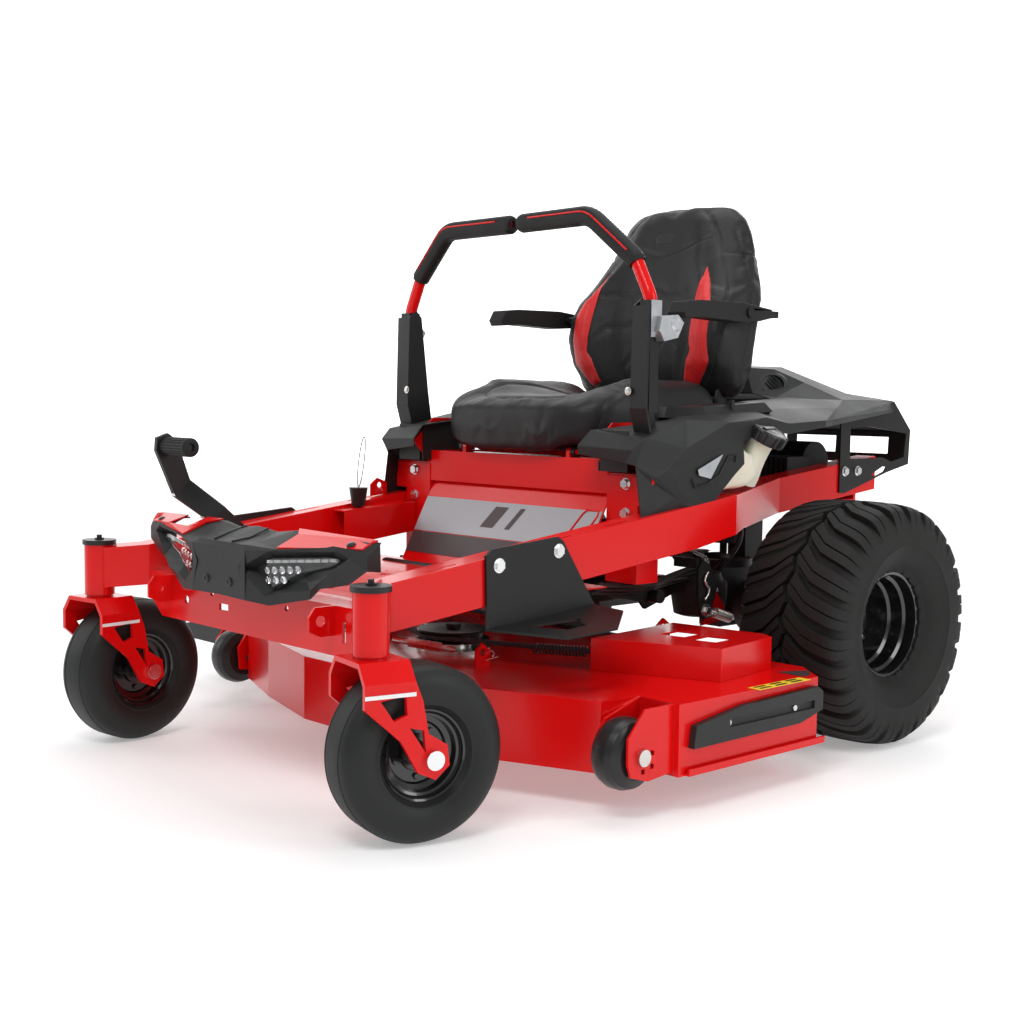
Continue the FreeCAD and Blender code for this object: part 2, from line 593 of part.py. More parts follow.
def seat():
    hy, hz = SEAT_PIVOT
    pan = box(-205, 205, hy + 14, 1120, 582, 590)
    lug = cyl((162, hy, hz), (1, 0, 0), 9.5, 10)
    lug = fuse([lug, box(162, 172, hy, hy + 16, 582, 590)])
    lug = lug.cut(cyl((150, hy, hz), (1, 0, 0), 5 + RUN, 30))
    back_leg = plate_x([(1092.5, 590), (1120, 590), (1128, 690), (1210, 1000), (1180, 1004),
                        (1100, 700)], 188, 196)
    foot = box(150, 190, 1014, 1036, 570.5, 582)
    pan = fuse([pan, lug, mirror(lug), back_leg, mirror(back_leg), foot, mirror(foot)])
    cushion = plate_x([(664, 600), (690, 591), (1090, 591), (1090, 690), (1050, 720), (960, 716),
                       (800, 704), (700, 690), (662, 660)], -244, 244)
    cushion = cushion.cut(plate_x([(700, 760), (700, 705), (1090, 705), (1090, 760)], -150, 150))
    nodes["seat_cushion"] = cushion
    rows = [(700, 232, 1100, 1172), (850, 236, 1100, 1206), (960, 222, 1114, 1232),
            (1060, 190, 1142, 1250), (1112, 150, 1176, 1250)]
    wires = []
    for z, half, y0, y1 in rows:
        pts = [V(-half, y0 + 26, z), V(-half + 30, y0, z), V(half - 30, y0, z),
               V(half, y0 + 26, z), V(half - 20, y1, z), V(-half + 20, y1, z)]
        wires.append(Part.makePolygon(pts + [pts[0]]))
    back = Part.makeLoft(wires, True, True)
    leg_hole = plate_x([(1090, 590), (1122.5, 590), (1131, 690), (1213, 1001), (1177, 1006),
                        (1097, 700)], 187.4, 196.6)
    back = back.cut(leg_hole).cut(mirror(leg_hole))
    y, z = ARM_PIVOT
    pad = plate_x([(877, 858), (884, 846), (930, 850), (1060, 846), (1120, 850), (1160, 858),
                   (1160, 876), (1060, 886), (930, 884), (890, 880)], ARM_X - 22, ARM_X + 22)
    pad = pad.cut(box(ARM_X - 30, 237.5, 1060, 1200, 800, 920))
    stub = box(ARM_X - 12, ARM_X + 12, 1160, 1196, 860, 874)
    arm = fuse([pad, stub])
    arm = arm.cut(cyl((ARM_X - 40, y, z - 6), (1, 0, 0), 7 + RUN, 80))
    nodes["left_armrest"] = arm
    nodes["right_armrest"] = mirror(arm)
    pin = cyl((206, y, z - 6), (1, 0, 0), 7, ARM_X + 26 - 206)
    pin = fuse([pin, cyl((ARM_X + 22.4, y, z - 6), (1, 0, 0), 11, 4)])
    nodes["seat_pan"] = group([pan, pin, mirror(pin)])
    for x in (-265, 205):
        back = back.cut(cyl((x, y, z - 6), (1, 0, 0), 7.3, 60))
    nodes["seat_backrest"] = back


# ---------------------------------------------------------------- lap bars

def lap_bar(r, longer, deeper):
    """Bent steering bar: up from the clamp, inwards, then level to the middle."""
    foot_x = LEVER_X + 4
    foot_y = SWING_PIVOT[0] + 1
    return rounded_tube([(foot_x, foot_y, 805 - deeper), (foot_x, foot_y, 872), (317, 705, 945),
                         (210, 690, 1034), (14 - longer, 694, 1034)], r, 58)


def lap_bars():
    py, pz = LEVER_PIVOT
    sy, sz = SWING_PIVOT
    base = plate_x([(py - 24, pz - 16), (py + 24, pz - 16), (sy + 32, sz + 30), (sy + 12, 858),
                    (sy - 2, 872), (sy - 22, 858), (sy - 26, sz)], LEVER_X - 20, LEVER_X - 15)
    flange = prism([(LEVER_X - 20, py - 24, pz - 16), (LEVER_X - 20, sy - 26, sz),
                    (LEVER_X - 20, sy - 22, 858), (LEVER_X - 20, sy - 16.5, 858),
                    (LEVER_X - 20, sy - 20.5, sz), (LEVER_X - 20, py - 18.5, pz - 16)], (40, 0, 0))
    hub = cyl((LEVER_X - 24, py, pz), (1, 0, 0), 13, 48)
    swing_pin = cyl((LEVER_X, sy - 21, sz), (0, 1, 0), 6, 36)
    base = fuse([base, flange, hub, swing_pin])
    base = base.cut(cyl((LEVER_X - 40, py, pz), (1, 0, 0), 8 + RUN, 80))
    arm = box(LEVER_X - 9.5, LEVER_X + 17, sy - 14, sy + 10, sz - 8, 850)
    arm = arm.cut(box(LEVER_X - 6.5, LEVER_X + 14, sy - 10, sy + 11, sz - 9, 851))
    socket = box(LEVER_X - 9.5, LEVER_X + 19, sy - 14, sy + 15, 800, 868)
    clamp = fuse([arm, socket]).cut(lap_bar(12.75, 0, 60))
    clamp = clamp.cut(cyl((LEVER_X, sy - 20, sz), (0, 1, 0), 6 + RUN, 40))
    grip = lap_bar(18.5, 2, 0).cut(box(200, 420, 600, 800, 700, 938)).cut(lap_bar(12.75, 0, 0))
    left_nodes = {
        "lever_bracket": base,
        "lap_bar": lap_bar(12.7, 0, 0),
        "lap_bar_grip": grip,
    }
    knob = plate_x([(sy - 6, 836), (sy + 40, 842), (sy + 56, 828), (sy + 40, 800), (sy + 2, 792),
                    (sy - 10, 810)], LEVER_X + 19, LEVER_X + 38)
    knob = knob.cut(cyl((LEVER_X, sy + 34, 824), (1, 0, 0), 6, 60))
    left_nodes["lap_bar_clamp"] = group([clamp, knob])
    for name, shape in left_nodes.items():
        nodes["left_" + name] = shape
        nodes["right_" + name] = mirror(shape)


# ---------------------------------------------------------------- deck

def deck_plan(inset):
    w = DECK_X - inset
    half = [(120, 262 + inset), (340, 325 + inset), (535 - inset, 400 + inset),
            (545 - inset, 482 + inset), (w, 482 + inset), (w, 866 - inset),
            (560 - inset, 925 - inset)]
    right = [(-x, y) for x, y in reversed(half)]
    return half + right


def deck():
    shell = plate_z(deck_plan(0), DECK_Z0, DECK_Z1)
    shell = shell.cut(plate_z(deck_plan(DECK_WALL), DECK_Z0 - 1, DECK_Z1 - 5))
    lip = box(DECK_X - 1, DECK_X + 9, 500, 880, DECK_Z0, DECK_Z0 + 5)
    lip_up = box(DECK_X + 4, DECK_X + 9, 500, 880, DECK_Z0, DECK_Z0 + 12)
    shell = fuse([shell, lip, lip_up])
    shell = shell.cut(box(-DECK_X - 20, -DECK_X + 40, 440, 730, DECK_Z0 - 10, 172))
    for x, y in ((-SPINDLE_X, SIDE_SPINDLE_Y), (0, MID_SPINDLE_Y), (SPINDLE_X, SIDE_SPINDLE_Y)):
        shell = shell.cut(cyl((x, y, DECK_Z1 - 10), (0, 0, 1), 55, 20))
    ear = plate_x([(380, 78), (372, 100), (372, 142), (412, 186), (484, 186), (484, 72),
                   (420, 66)], 619, 624)
    ear = ear.cut(cyl((610, 405, 108), (1, 0, 0), 8, 20))
    for y, z in ((430, 112), (430, 90), (408, 84)):
        ear = ear.cut(box(610, 630, y - 4, y + 4, z - 4, z + 4))
    inner_ear = plate_x([(384, 84), (380, 132), (400, 160), (484, 186), (484, 72)], 541, 548)
    inner_ear = inner_ear.cut(cyl((520, 405, 108), (1, 0, 0), 8, 50))
    bracket = [ear, inner_ear]
    hanger = plate_x([(440, 186), (440, 216), (456, 230), (474, 216), (474, 186)], 172, 177)
    hanger = hanger.cut(cyl((160, 457, 212), (1, 0, 0), 6.6, 40))
    rear_hanger = plate_x([(840, 186), (840, 236), (860, 250), (880, 236), (880, 186)], 262, 267)
    rear_hanger = rear_hanger.cut(cyl((250, 860, 232), (1, 0, 0), 6.6, 40))
    pieces = [shell]
    for shape in bracket + [hanger, rear_hanger]:
        pieces.append(shape)
        pieces.append(mirror(shape))
    deck_body = fuse(pieces)
    for y in (470, 590, 700):
        lug = cyl((-CHUTE_AXIS_X, y, 180), (0, 1, 0), 8, 22)
        lug = lug.fuse(box(-CHUTE_AXIS_X, -DECK_X + 2, y, y + 22, 174, 186))
        lug = lug.cut(cyl((-CHUTE_AXIS_X, y - 1, 180), (0, 1, 0), 4 + RUN, 24))
        deck_body = fuse([deck_body, lug])
    nodes["deck_shell"] = deck_body
    axle = cyl((541, 405, 108), (1, 0, 0), 8, 84)
    axle = fuse([axle, cyl((624.2, 405, 108), (1, 0, 0), 14, 7)])
    nodes["deck_hardware"] = [axle, mirror(axle)]
    wheel = revolve_x([(-30, 40), (-22, 55), (-8, SCALP_R), (8, SCALP_R), (22, 55), (30, 40),
                       (30, 8 + RUN), (-30, 8 + RUN)], (584, 405, 108))
    nodes["left_anti_scalp_wheel"] = wheel
    nodes["right_anti_scalp_wheel"] = mirror(wheel)
    bumper = plate_x([(506, 110), (512, 148), (640, 166), (850, 172), (866, 162), (866, 128),
                      (800, 112)], DECK_X + 0.3, DECK_X + 13)
    bumper = bumper.cut(box(DECK_X + 8, DECK_X + 20, 600, 840, 134, 148))
    nodes["deck_bumper"] = bumper


def belt_covers():
    plan = [(330, 585), (557, 685), (532, 862), (500, 880), (300, 850)]
    shell = plate_z(plan, DECK_Z1, 246)
    inner = plate_z([(290, 572), (334, 591), (552.5, 688), (528, 860), (518, 900), (290, 900)],
                    DECK_Z1 - 1, 242.5)
    shell = shell.cut(inner)
    for x in (380, 455):
        shell = shell.cut(plate_z([(x, 720), (x + 50, 732), (x + 44, 790), (x - 6, 778)],
                                  240, 250))
    nodes["belt_covers"] = both(shell)


def blades():
    for name, x, y in (("left", SPINDLE_X, SIDE_SPINDLE_Y), ("centre", 0, MID_SPINDLE_Y),
                       ("right", -SPINDLE_X, SIDE_SPINDLE_Y)):
        shaft = cyl((x, y, 84), (0, 0, 1), 12.5, 146)
        blade = plate_z([(x - BLADE_R + 12, y - 30), (x + BLADE_R - 12, y - 30),
                         (x + BLADE_R - 12, y + 14), (x + 120, y + 30),
                         (x - BLADE_R + 12, y + 30)], 92, 97)
        head = cyl((x, y, 76), (0, 0, 1), 16, 16)
        pulley = revolve_z([(12, 206), (70, 206), (72, 210), (58, 212.5), (58, 223.5), (72, 226),
                            (70, 229), (12, 229)], x, y)
        nut = cyl((x, y, 229), (0, 0, 1), 15, 9)
        nodes[name + "_blade_spindle"] = fuse([shaft, blade, head, pulley, nut])
    housings = []
    for x, y in ((-SPINDLE_X, SIDE_SPINDLE_Y), (0, MID_SPINDLE_Y), (SPINDLE_X, SIDE_SPINDLE_Y)):
        flange = ring((x, y, DECK_Z1), (0, 0, 1), 74, 12.5 + RUN, 7)
        barrel = ring((x, y, 118), (0, 0, 1), 36, 12.5 + RUN, 84)
        housings.append(fuse([flange, barrel]))
    nodes["deck_hardware"] += housings


def revolve_z(points, x, y):
    pts = [V(x + r, y, z) for r, z in points]
    face = Part.Face(Part.makePolygon(pts + [pts[0]]))
    return face.revolve(V(x, y, 0), V(0, 0, 1), 360)


def chute():
    x0 = -CHUTE_AXIS_X
    top = plate_y([(x0 - 9, 186), (x0 - CHUTE_REACH, 140), (x0 - CHUTE_REACH, 120),
                   (x0 - CHUTE_REACH + 4, 120), (x0 - CHUTE_REACH + 4, 136), (x0 - 9, 182)],
                  430, 740)
    front = plate_y([(x0 - 12, 184), (x0 - CHUTE_REACH + 2, 138), (x0 - CHUTE_REACH + 2, 112),
                     (x0 - 40, 112), (x0 - 12, 140)], 430, 434)
    back = front.copy()
    back.translate(V(0, 306, 0))
    ears = []
    for y in (448, 560, 680, 726):
        ears.append(fuse([ring((x0, y, 180), (0, 1, 0), 8, 4 + RUN, 14),
                          box(x0 - 22, x0 - 6, y, y + 14, 176, 186)]).cut(
            cyl((x0, y - 1, 180), (0, 1, 0), 4 + RUN, 16)))
    nodes["discharge_chute"] = fuse([top, front, back] + ears)
    rod = cyl((x0, 436, 180), (0, 1, 0), 4, 312)
    nodes["deck_hardware"].append(fuse([rod, cyl((x0, 430, 180), (0, 1, 0), 6, 6)]))


def deck_belt():
    """Flat-sided V-belt round the three deck pulleys."""
    z0, z1 = 214.0, 222.0
    pts_outer = belt_loop(70.5)
    pts_inner = belt_loop(59.0)
    nodes["deck_belt"] = plate_z(pts_outer, z0, z1).cut(plate_z(pts_inner, z0 - 1, z1 + 1))


def belt_loop(r):
    """Outline that wraps the two side pulleys and the centre pulley."""
    pts = []
    for cx, cy, a0, a1 in ((SPINDLE_X, SIDE_SPINDLE_Y, -67, 90),
                           (-SPINDLE_X, SIDE_SPINDLE_Y, 90, 247), (0, MID_SPINDLE_Y, 247, 293)):
        steps = max(4, int((a1 - a0) / 10))
        for i in range(steps + 1):
            a = math.radians(a0 + (a1 - a0) * i / steps)
            pts.append((cx + r * math.cos(a), cy + r * math.sin(a)))
    return pts


# ---------------------------------------------------------------- deck lift

def lift():
    py, pz = PEDAL_PIVOT
    low = plate_x([(py - 20, pz - 14), (py + 16, pz - 10), (py + 18, pz + 16), (134, 474),
                   (106, 446)], PEDAL_X - 5, PEDAL_X + 5)
    low_end = [(PEDAL_X - 5, 134, 474), (PEDAL_X + 5, 134, 474), (PEDAL_X + 5, 106, 446),
               (PEDAL_X - 5, 106, 446)]
    high_end = [(PEDAL_X - 45, 84, 524), (PEDAL_X - 35, 84, 524), (PEDAL_X - 35, 52, 494),
                (PEDAL_X - 45, 52, 494)]
    mid = Part.makeLoft([polygon(low_end), polygon(high_end)], True, True)
    top = plate_x([(52, 494), (84, 524), (56, 600), (38, 612), (16, 604), (14, 580)],
                  PEDAL_X - 45, PEDAL_X - 35)
    arm = fuse([low, mid, top, cyl((PEDAL_X - 35, 36, 588), (1, 0, 0), 8, 80),
                cyl((PEDAL_X - 14, py, pz), (1, 0, 0), 17, 28)])
    arm = arm.cut(cyl((PEDAL_X - 60, py, pz), (1, 0, 0), 10 + RUN, 120))
    nodes["lift_pedal"] = arm
    peg = cyl((PEDAL_X - 34, 36, 588), (1, 0, 0), 17, 84)
    peg = peg.cut(cyl((PEDAL_X - 40, 36, 588), (1, 0, 0), 8.05, 85.2))
    nodes["pedal_peg"] = peg
    bracket = plate_x([(72, 345), (112, 345), (py + 18, pz - 8), (py + 12, pz + 12),
                       (py - 12, pz + 12)], PEDAL_X + 15, PEDAL_X + 20)
    pin = cyl((PEDAL_X - 18, py, pz), (1, 0, 0), 10, 38)
    foot = box(PEDAL_X + 15, PEDAL_X + 60, 64, 112, 345, 349)
    nodes["front_crossmember"] = fuse([nodes["front_crossmember"], bracket, pin, foot])
    pin_x, pin_y = HEIGHT_PIN
    cap = revolve_z([(0, 450.5), (14, 450.5), (20, 490), (0, 490)], pin_x, pin_y)
    nodes["height_pin"] = fuse([cyl((pin_x, pin_y, 392), (0, 0, 1), 6, 62), cap])


def fasteners():
    bolts = []
    for x in (-315, 315):
        for z in (526, 470):
            bolts.append(hex_bolt((x, UPRIGHT_Y, z), (0, -1, 0), 9, 8, 5, 14))
    for s in (-1, 1):
        for y, z in ((286, 408), (424, 424)):
            bolts.append(hex_bolt((s * (RAIL_OUT + 6), y, z), (s, 0, 0), 10, 6, 5, 4.8))
        for y in (1470, 1520):
            bolts.append(hex_bolt((s * 266.5, y, 528), (s, 0, 0), 9, 7, 5, 12))
    nodes["frame_bolts"] = group(bolts)


frame()
crossmember()
foot_pan()
seat_support()
riser_panel()
engine_plate()
step_plates()
headlight_panel()
guard()
pods()
fenders()
fuel_tank()
engine_hood()
engine()
transaxles()
rear_wheels()
caster("left")
caster("right")
caster_caps()
seat()
lap_bars()
deck()
belt_covers()
blades()
chute()
deck_belt()
lift()
fasteners()

nodes["deck_hardware"] = group(nodes["deck_hardware"])
os.makedirs("parts", exist_ok=True)
for name, shape in nodes.items():
    placed = shape.copy()
    placed.translate(V(ORIGIN_X, ORIGIN_Y, 0))
    placed.exportStep("parts/" + name + ".step")
    bb = placed.BoundBox
    print(name, len(placed.Solids), placed.isValid(),
          [round(v) for v in (bb.XMin, bb.XMax, bb.YMin, bb.YMax, bb.ZMin, bb.ZMax)])
print(len(nodes), "nodes")
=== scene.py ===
import bpy
import bmesh
import math
import numpy as np
from mathutils import Matrix, Vector
from mathutils.bvhtree import BVHTree


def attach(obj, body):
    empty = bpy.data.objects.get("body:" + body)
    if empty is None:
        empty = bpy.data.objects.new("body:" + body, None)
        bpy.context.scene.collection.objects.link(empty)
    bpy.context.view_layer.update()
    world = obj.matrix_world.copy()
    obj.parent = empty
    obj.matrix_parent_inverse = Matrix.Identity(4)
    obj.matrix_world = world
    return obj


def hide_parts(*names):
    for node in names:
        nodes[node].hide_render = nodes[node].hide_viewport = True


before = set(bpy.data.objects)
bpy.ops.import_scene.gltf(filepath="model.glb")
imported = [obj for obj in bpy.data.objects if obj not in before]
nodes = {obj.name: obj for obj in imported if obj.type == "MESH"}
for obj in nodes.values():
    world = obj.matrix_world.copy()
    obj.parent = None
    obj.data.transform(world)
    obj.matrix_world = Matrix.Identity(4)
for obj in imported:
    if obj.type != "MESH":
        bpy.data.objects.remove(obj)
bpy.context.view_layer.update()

# The drawing frame of the machine in millimetres: y = 0 on the caster line, x = 0 on the centre line.
ORIGIN = (113.0, -834.0)
# Left is +x and right is -x.
SIDES = ((1, "left"), (-1, "right"))
# Drive axle: distance from the middle, distance behind the casters and height.
DRIVE_X, AXLE_Y, AXLE_Z = 491, 1187, 243
# Casters: distance from the middle, trail, wheel radius and how far each fork is turned at rest.
CASTER_X, TRAIL, CASTER_R = 435, 74, 139.7
FORK_TURN = {1: math.radians(-12.0), -1: math.radians(7.6)}


def W(x, y, z):
    return Vector(((x + ORIGIN[0]) / 1000, (y + ORIGIN[1]) / 1000, z / 1000))


def points(rows):
    return [W(*p) for p in rows]


def on_side(s, rows):
    """The left side's points, or with s = -1 the same points on the right side."""
    return [(s * x, y, z) for x, y, z in rows]


def named_faces(corners, faces):
    """Corner points by name and faces as words of names, turned into lists."""
    names = list(corners)
    return [corners[n] for n in names], [tuple(names.index(n) for n in face.split()) for face in faces]


# ---------------------------------------------------------------- camera, light and floor


def make_camera():
    a, e, r = math.radians(47.221), math.radians(4.474), math.radians(0.706)
    back = Vector((math.sin(a) * math.cos(e), -math.cos(a) * math.cos(e), math.sin(e)))
    right = Vector((math.cos(a), math.sin(a), 0))
    up = back.cross(right)
    right, up = right * math.cos(r) + up * math.sin(r), up * math.cos(r) - right * math.sin(r)
    data = bpy.data.cameras.new("camera")
    data.sensor_width = 36
    data.lens = 50.93
    data.clip_end = 100
    cam = bpy.data.objects.new("camera", data)
    m = Matrix((right, up, back)).transposed().to_4x4()
    m.translation = W(2166.99, -1315.53, 683.41)
    cam.matrix_world = m
    bpy.context.scene.collection.objects.link(cam)
    bpy.context.scene.camera = cam


def area(name, place, target, size, power, colour=(1, 1, 1)):
    data = bpy.data.lights.new(name, "AREA")
    data.shape = "RECTANGLE"
    data.size, data.size_y = size
    data.energy = power
    data.color = colour
    lamp = bpy.data.objects.new(name, data)
    lamp.location = place
    lamp.rotation_euler = (Vector(target) - Vector(place)).to_track_quat("-Z", "Y").to_euler()
    bpy.context.scene.collection.objects.link(lamp)


def make_stage():
    world = bpy.data.worlds.new("world")
    world.use_nodes = True
    world.node_tree.nodes["Background"].inputs[0].default_value = (1, 1, 1, 1)
    world.node_tree.nodes["Background"].inputs[1].default_value = 0.40
    bpy.context.scene.world = world
    floor = bpy.data.objects.new("floor", bpy.data.meshes.new("floor"))
    bm = bmesh.new()
    bmesh.ops.create_grid(bm, x_segments=1, y_segments=1, size=40)
    bm.to_mesh(floor.data)
    bm.free()
    bpy.context.scene.collection.objects.link(floor)
    m = bpy.data.materials.new("floor")
    m.use_nodes = True
    shader = m.node_tree.nodes["Principled BSDF"]
    shader.inputs["Roughness"].default_value = 0.75
    shader.inputs["Base Color"].default_value = (0.8, 0.8, 0.8, 1)
    shader.inputs["Emission Color"].default_value = (1, 1, 1, 1)
    shader.inputs["Emission Strength"].default_value = 0.30
    floor.data.materials.append(m)
    wall = bpy.data.objects.new("backdrop", bpy.data.meshes.new("backdrop"))
    bm = bmesh.new()
    ring = [bm.verts.new((9 * math.cos(a), 9 * math.sin(a), z)) for z in (0, 9)
            for a in (math.radians(92 + 4.5 * k) for k in range(21))]
    for k in range(20):
        bm.faces.new((ring[k], ring[k + 1], ring[22 + k], ring[21 + k]))
    bm.to_mesh(wall.data)
    bm.free()
    bpy.context.scene.collection.objects.link(wall)
    glow = bpy.data.materials.new("backdrop")
    glow.use_nodes = True
    shader = glow.node_tree.nodes["Principled BSDF"]
    shader.inputs["Emission Color"].default_value = (1, 1, 1, 1)
    shader.inputs["Emission Strength"].default_value = 1.0
    wall.data.materials.append(glow)
    bpy.context.scene.view_settings.view_transform = "Standard"
    area("key", (1.6, -2.6, 3.6), (0.1, 0.0, 0.4), (1.6, 1.2), 62)
    area("left", (-2.9, -2.4, 1.8), (0, 0, 0.5), (1.4, 2.2), 26)
    area("right", (3.6, 1.0, 1.9), (0, 0.2, 0.5), (1.2, 2.2), 40)
    area("top", (0.0, 0.4, 3.6), (0, 0, 0.4), (2.4, 2.0), 34)
    area("back", (-1.6, 3.6, 2.6), (0, 0, 0.5), (3.0, 1.6), 22)


# ---------------------------------------------------------------- materials


def material(name, dark, light, rough=(0.3, 0.4), patch=5.0, bump=0.0, grain=300.0, cells=False,
             **sockets):
    """Principled shader: colour and roughness vary in soft patches, with a fine bump over them."""
    m = bpy.data.materials.new(name)
    m.use_nodes = True
    tree = m.node_tree
    shader = tree.nodes["Principled BSDF"]
    place = tree.nodes.new("ShaderNodeTexCoord")
    soft = tree.nodes.new("ShaderNodeTexNoise")
    soft.inputs["Scale"].default_value = patch
    soft.inputs["Detail"].default_value = 6
    tree.links.new(place.outputs["Object"], soft.inputs["Vector"])
    mix = tree.nodes.new("ShaderNodeMix")
    mix.data_type = "RGBA"
    mix.inputs["A"].default_value = (*dark, 1)
    mix.inputs["B"].default_value = (*light, 1)
    tree.links.new(soft.outputs["Fac"], mix.inputs["Factor"])
    tree.links.new(mix.outputs["Result"], shader.inputs["Base Color"])
    spread = tree.nodes.new("ShaderNodeMapRange")
    spread.inputs["From Min"].default_value = 0.3
    spread.inputs["From Max"].default_value = 0.7
    spread.inputs["To Min"].default_value = rough[0]
    spread.inputs["To Max"].default_value = rough[1]
    tree.links.new(soft.outputs["Fac"], spread.inputs["Value"])
    tree.links.new(spread.outputs["Result"], shader.inputs["Roughness"])
    if bump:
        fine = tree.nodes.new("ShaderNodeTexVoronoi" if cells else "ShaderNodeTexNoise")
        fine.inputs["Scale"].default_value = grain
        tree.links.new(place.outputs["Object"], fine.inputs["Vector"])
        raised = tree.nodes.new("ShaderNodeBump")
        raised.inputs["Strength"].default_value = bump
        raised.inputs["Distance"].default_value = 0.001
        tree.links.new(fine.outputs["Distance" if cells else "Fac"], raised.inputs["Height"])
        tree.links.new(raised.outputs["Normal"], shader.inputs["Normal"])
    for key, value in sockets.items():
        shader.inputs[key.replace("_", " ")].default_value = value
    return m


MAT = {
    "red": material("red_powder_coat", (0.66, 0.002, 0.003), (0.78, 0.005, 0.005), (0.18, 0.25), 4, 0.04, 900,
                    Specular_IOR_Level=0.26, Coat_Weight=0.10, Coat_Roughness=0.05),
    "black_paint": material("black_powder_coat", (0.007, 0.007, 0.007), (0.012, 0.012, 0.012), (0.34, 0.46),
                            8, 0.12, 1400, Specular_IOR_Level=0.32),
    "gloss_black": material("gloss_black_wheel", (0.006, 0.006, 0.006), (0.012, 0.012, 0.012), (0.16, 0.24),
                            9, 0.03, 700, Coat_Weight=0.6, Coat_Roughness=0.05),
    "plastic": material("grained_black_plastic", (0.010, 0.011, 0.011), (0.018, 0.019, 0.019), (0.44, 0.56),
                        7, 0.35, 1500, Specular_IOR_Level=0.36),
    "smooth_plastic": material("smooth_black_plastic", (0.012, 0.012, 0.013), (0.02, 0.02, 0.02),
                               (0.28, 0.4), 9, 0.08, 900, Specular_IOR_Level=0.36),
    "tyre": material("tyre_rubber", (0.007, 0.007, 0.007), (0.020, 0.019, 0.018), (0.58, 0.78), 11, 0.5, 700,
                     Specular_IOR_Level=0.28),
    "smooth_tyre": material("smooth_tyre_rubber", (0.008, 0.009, 0.009), (0.018, 0.020, 0.019),
                            (0.46, 0.62), 6, 0.3, 420, Specular_IOR_Level=0.32),
    "rubber": material("grip_rubber", (0.008, 0.008, 0.008), (0.014, 0.014, 0.014), (0.5, 0.62), 20, 0.3, 900,
                       Specular_IOR_Level=0.3),
    "leather": material("seat_leather", (0.010, 0.010, 0.011), (0.019, 0.019, 0.020), (0.36, 0.5), 10,
                        0.35, 420, cells=True, Specular_IOR_Level=0.3),
    "red_leather": material("red_leather", (0.58, 0.008, 0.010), (0.72, 0.014, 0.014), (0.4, 0.5), 10, 0.35,
                            420, cells=True),
    "thread": material("seam_thread", (0.03, 0.03, 0.03), (0.06, 0.06, 0.06), (0.7, 0.8), 40, 0.4, 1500),
    "zinc": material("zinc_plate", (0.55, 0.55, 0.53), (0.75, 0.74, 0.70), (0.22, 0.36), 30, 0.1, 600,
                     Metallic=1.0),
    "chrome": material("bright_steel", (0.75, 0.76, 0.77), (0.85, 0.86, 0.87), (0.10, 0.18), 30, 0.04, 900,
                       Metallic=1.0),
    "cast": material("cast_metal", (0.030, 0.030, 0.032), (0.07, 0.07, 0.07), (0.5, 0.66), 14, 0.6, 500,
                     Metallic=0.6),
    "cable": material("grey_cable", (0.20, 0.20, 0.20), (0.30, 0.30, 0.30), (0.4, 0.5), 40, 0.1, 900),
    "belt": material("belt_cover", (0.02, 0.022, 0.026), (0.04, 0.045, 0.055), (0.7, 0.85), 30, 0.6, 1200),
    "tank": material("cream_tank", (0.80, 0.74, 0.60), (0.88, 0.83, 0.70), (0.34, 0.44), 4, 0.08, 500,
                     Subsurface_Weight=0.35, Subsurface_Scale=0.02),
    "lens": material("clear_lens", (0.92, 0.94, 0.96), (1.0, 1.0, 1.0), (0.02, 0.05), 6, 0.0, 300,
                     Transmission_Weight=1.0, IOR=1.42),
    "grey": material("grey_patch", (0.30, 0.31, 0.33), (0.37, 0.38, 0.40), (0.32, 0.4), 12, 0.05, 900,
                     Metallic=0.3),
    "dark_grey": material("dark_patch", (0.045, 0.030, 0.032), (0.065, 0.045, 0.047), (0.4, 0.5), 12, 0.05,
                          900),
    "yellow": material("yellow_strip", (0.85, 0.62, 0.02), (0.95, 0.72, 0.04), (0.4, 0.5), 12, 0.03, 900),
    # White for the light bar, lamp chips and fork marks, and for the painted highlights on the pedal arm's
    # bends.
    "white": material("white_film_and_painted_highlight", (0.80, 0.80, 0.80), (0.90, 0.90, 0.90), (0.4, 0.5), 12, 0.03, 900),
    "silver": material("cast_aluminium", (0.50, 0.52, 0.54), (0.66, 0.68, 0.70), (0.3, 0.42), 30, 0.2, 700,
                       Metallic=0.9),
}


# ---------------------------------------------------------------- helpers


def soften(obj, width=0.0012, segments=2, angle=30):
    """Rounds a hard-edged shape's corners so that they catch the light."""
    weld = obj.modifiers.new("weld", "WELD")
    weld.merge_threshold = 0.00002
    bevel = obj.modifiers.new("bevel", "BEVEL")
    bevel.width = width
    bevel.segments = segments
    bevel.limit_method = "ANGLE"
    bevel.angle_limit = math.radians(angle)
    bevel.harden_normals = True
    bevel.use_clamp_overlap = True
    normals = obj.modifiers.new("normals", "WEIGHTED_NORMAL")
    normals.keep_sharp = True


def dress(node, finish, width=0.0012):
    obj = nodes[node]
    obj.data.materials.clear()
    obj.data.materials.append(MAT[finish])
    if width:
        soften(obj, width)


def finish_piece(obj, finish, body, stands_for=(), angle=None):
    """Gives a new object its material, its smooth shading and its body, and hides the CAD nodes it stands
    for.
    """
    bpy.context.scene.collection.objects.link(obj)
    if not obj.data.materials:
        obj.data.materials.append(MAT[finish])
    if angle is not None:
        obj.data.polygons.foreach_set("use_smooth", [True] * len(obj.data.polygons))
        obj.data.set_sharp_from_angle(angle=math.radians(angle))
    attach(obj, body)
    if stands_for:
        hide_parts(*stands_for)
    return obj


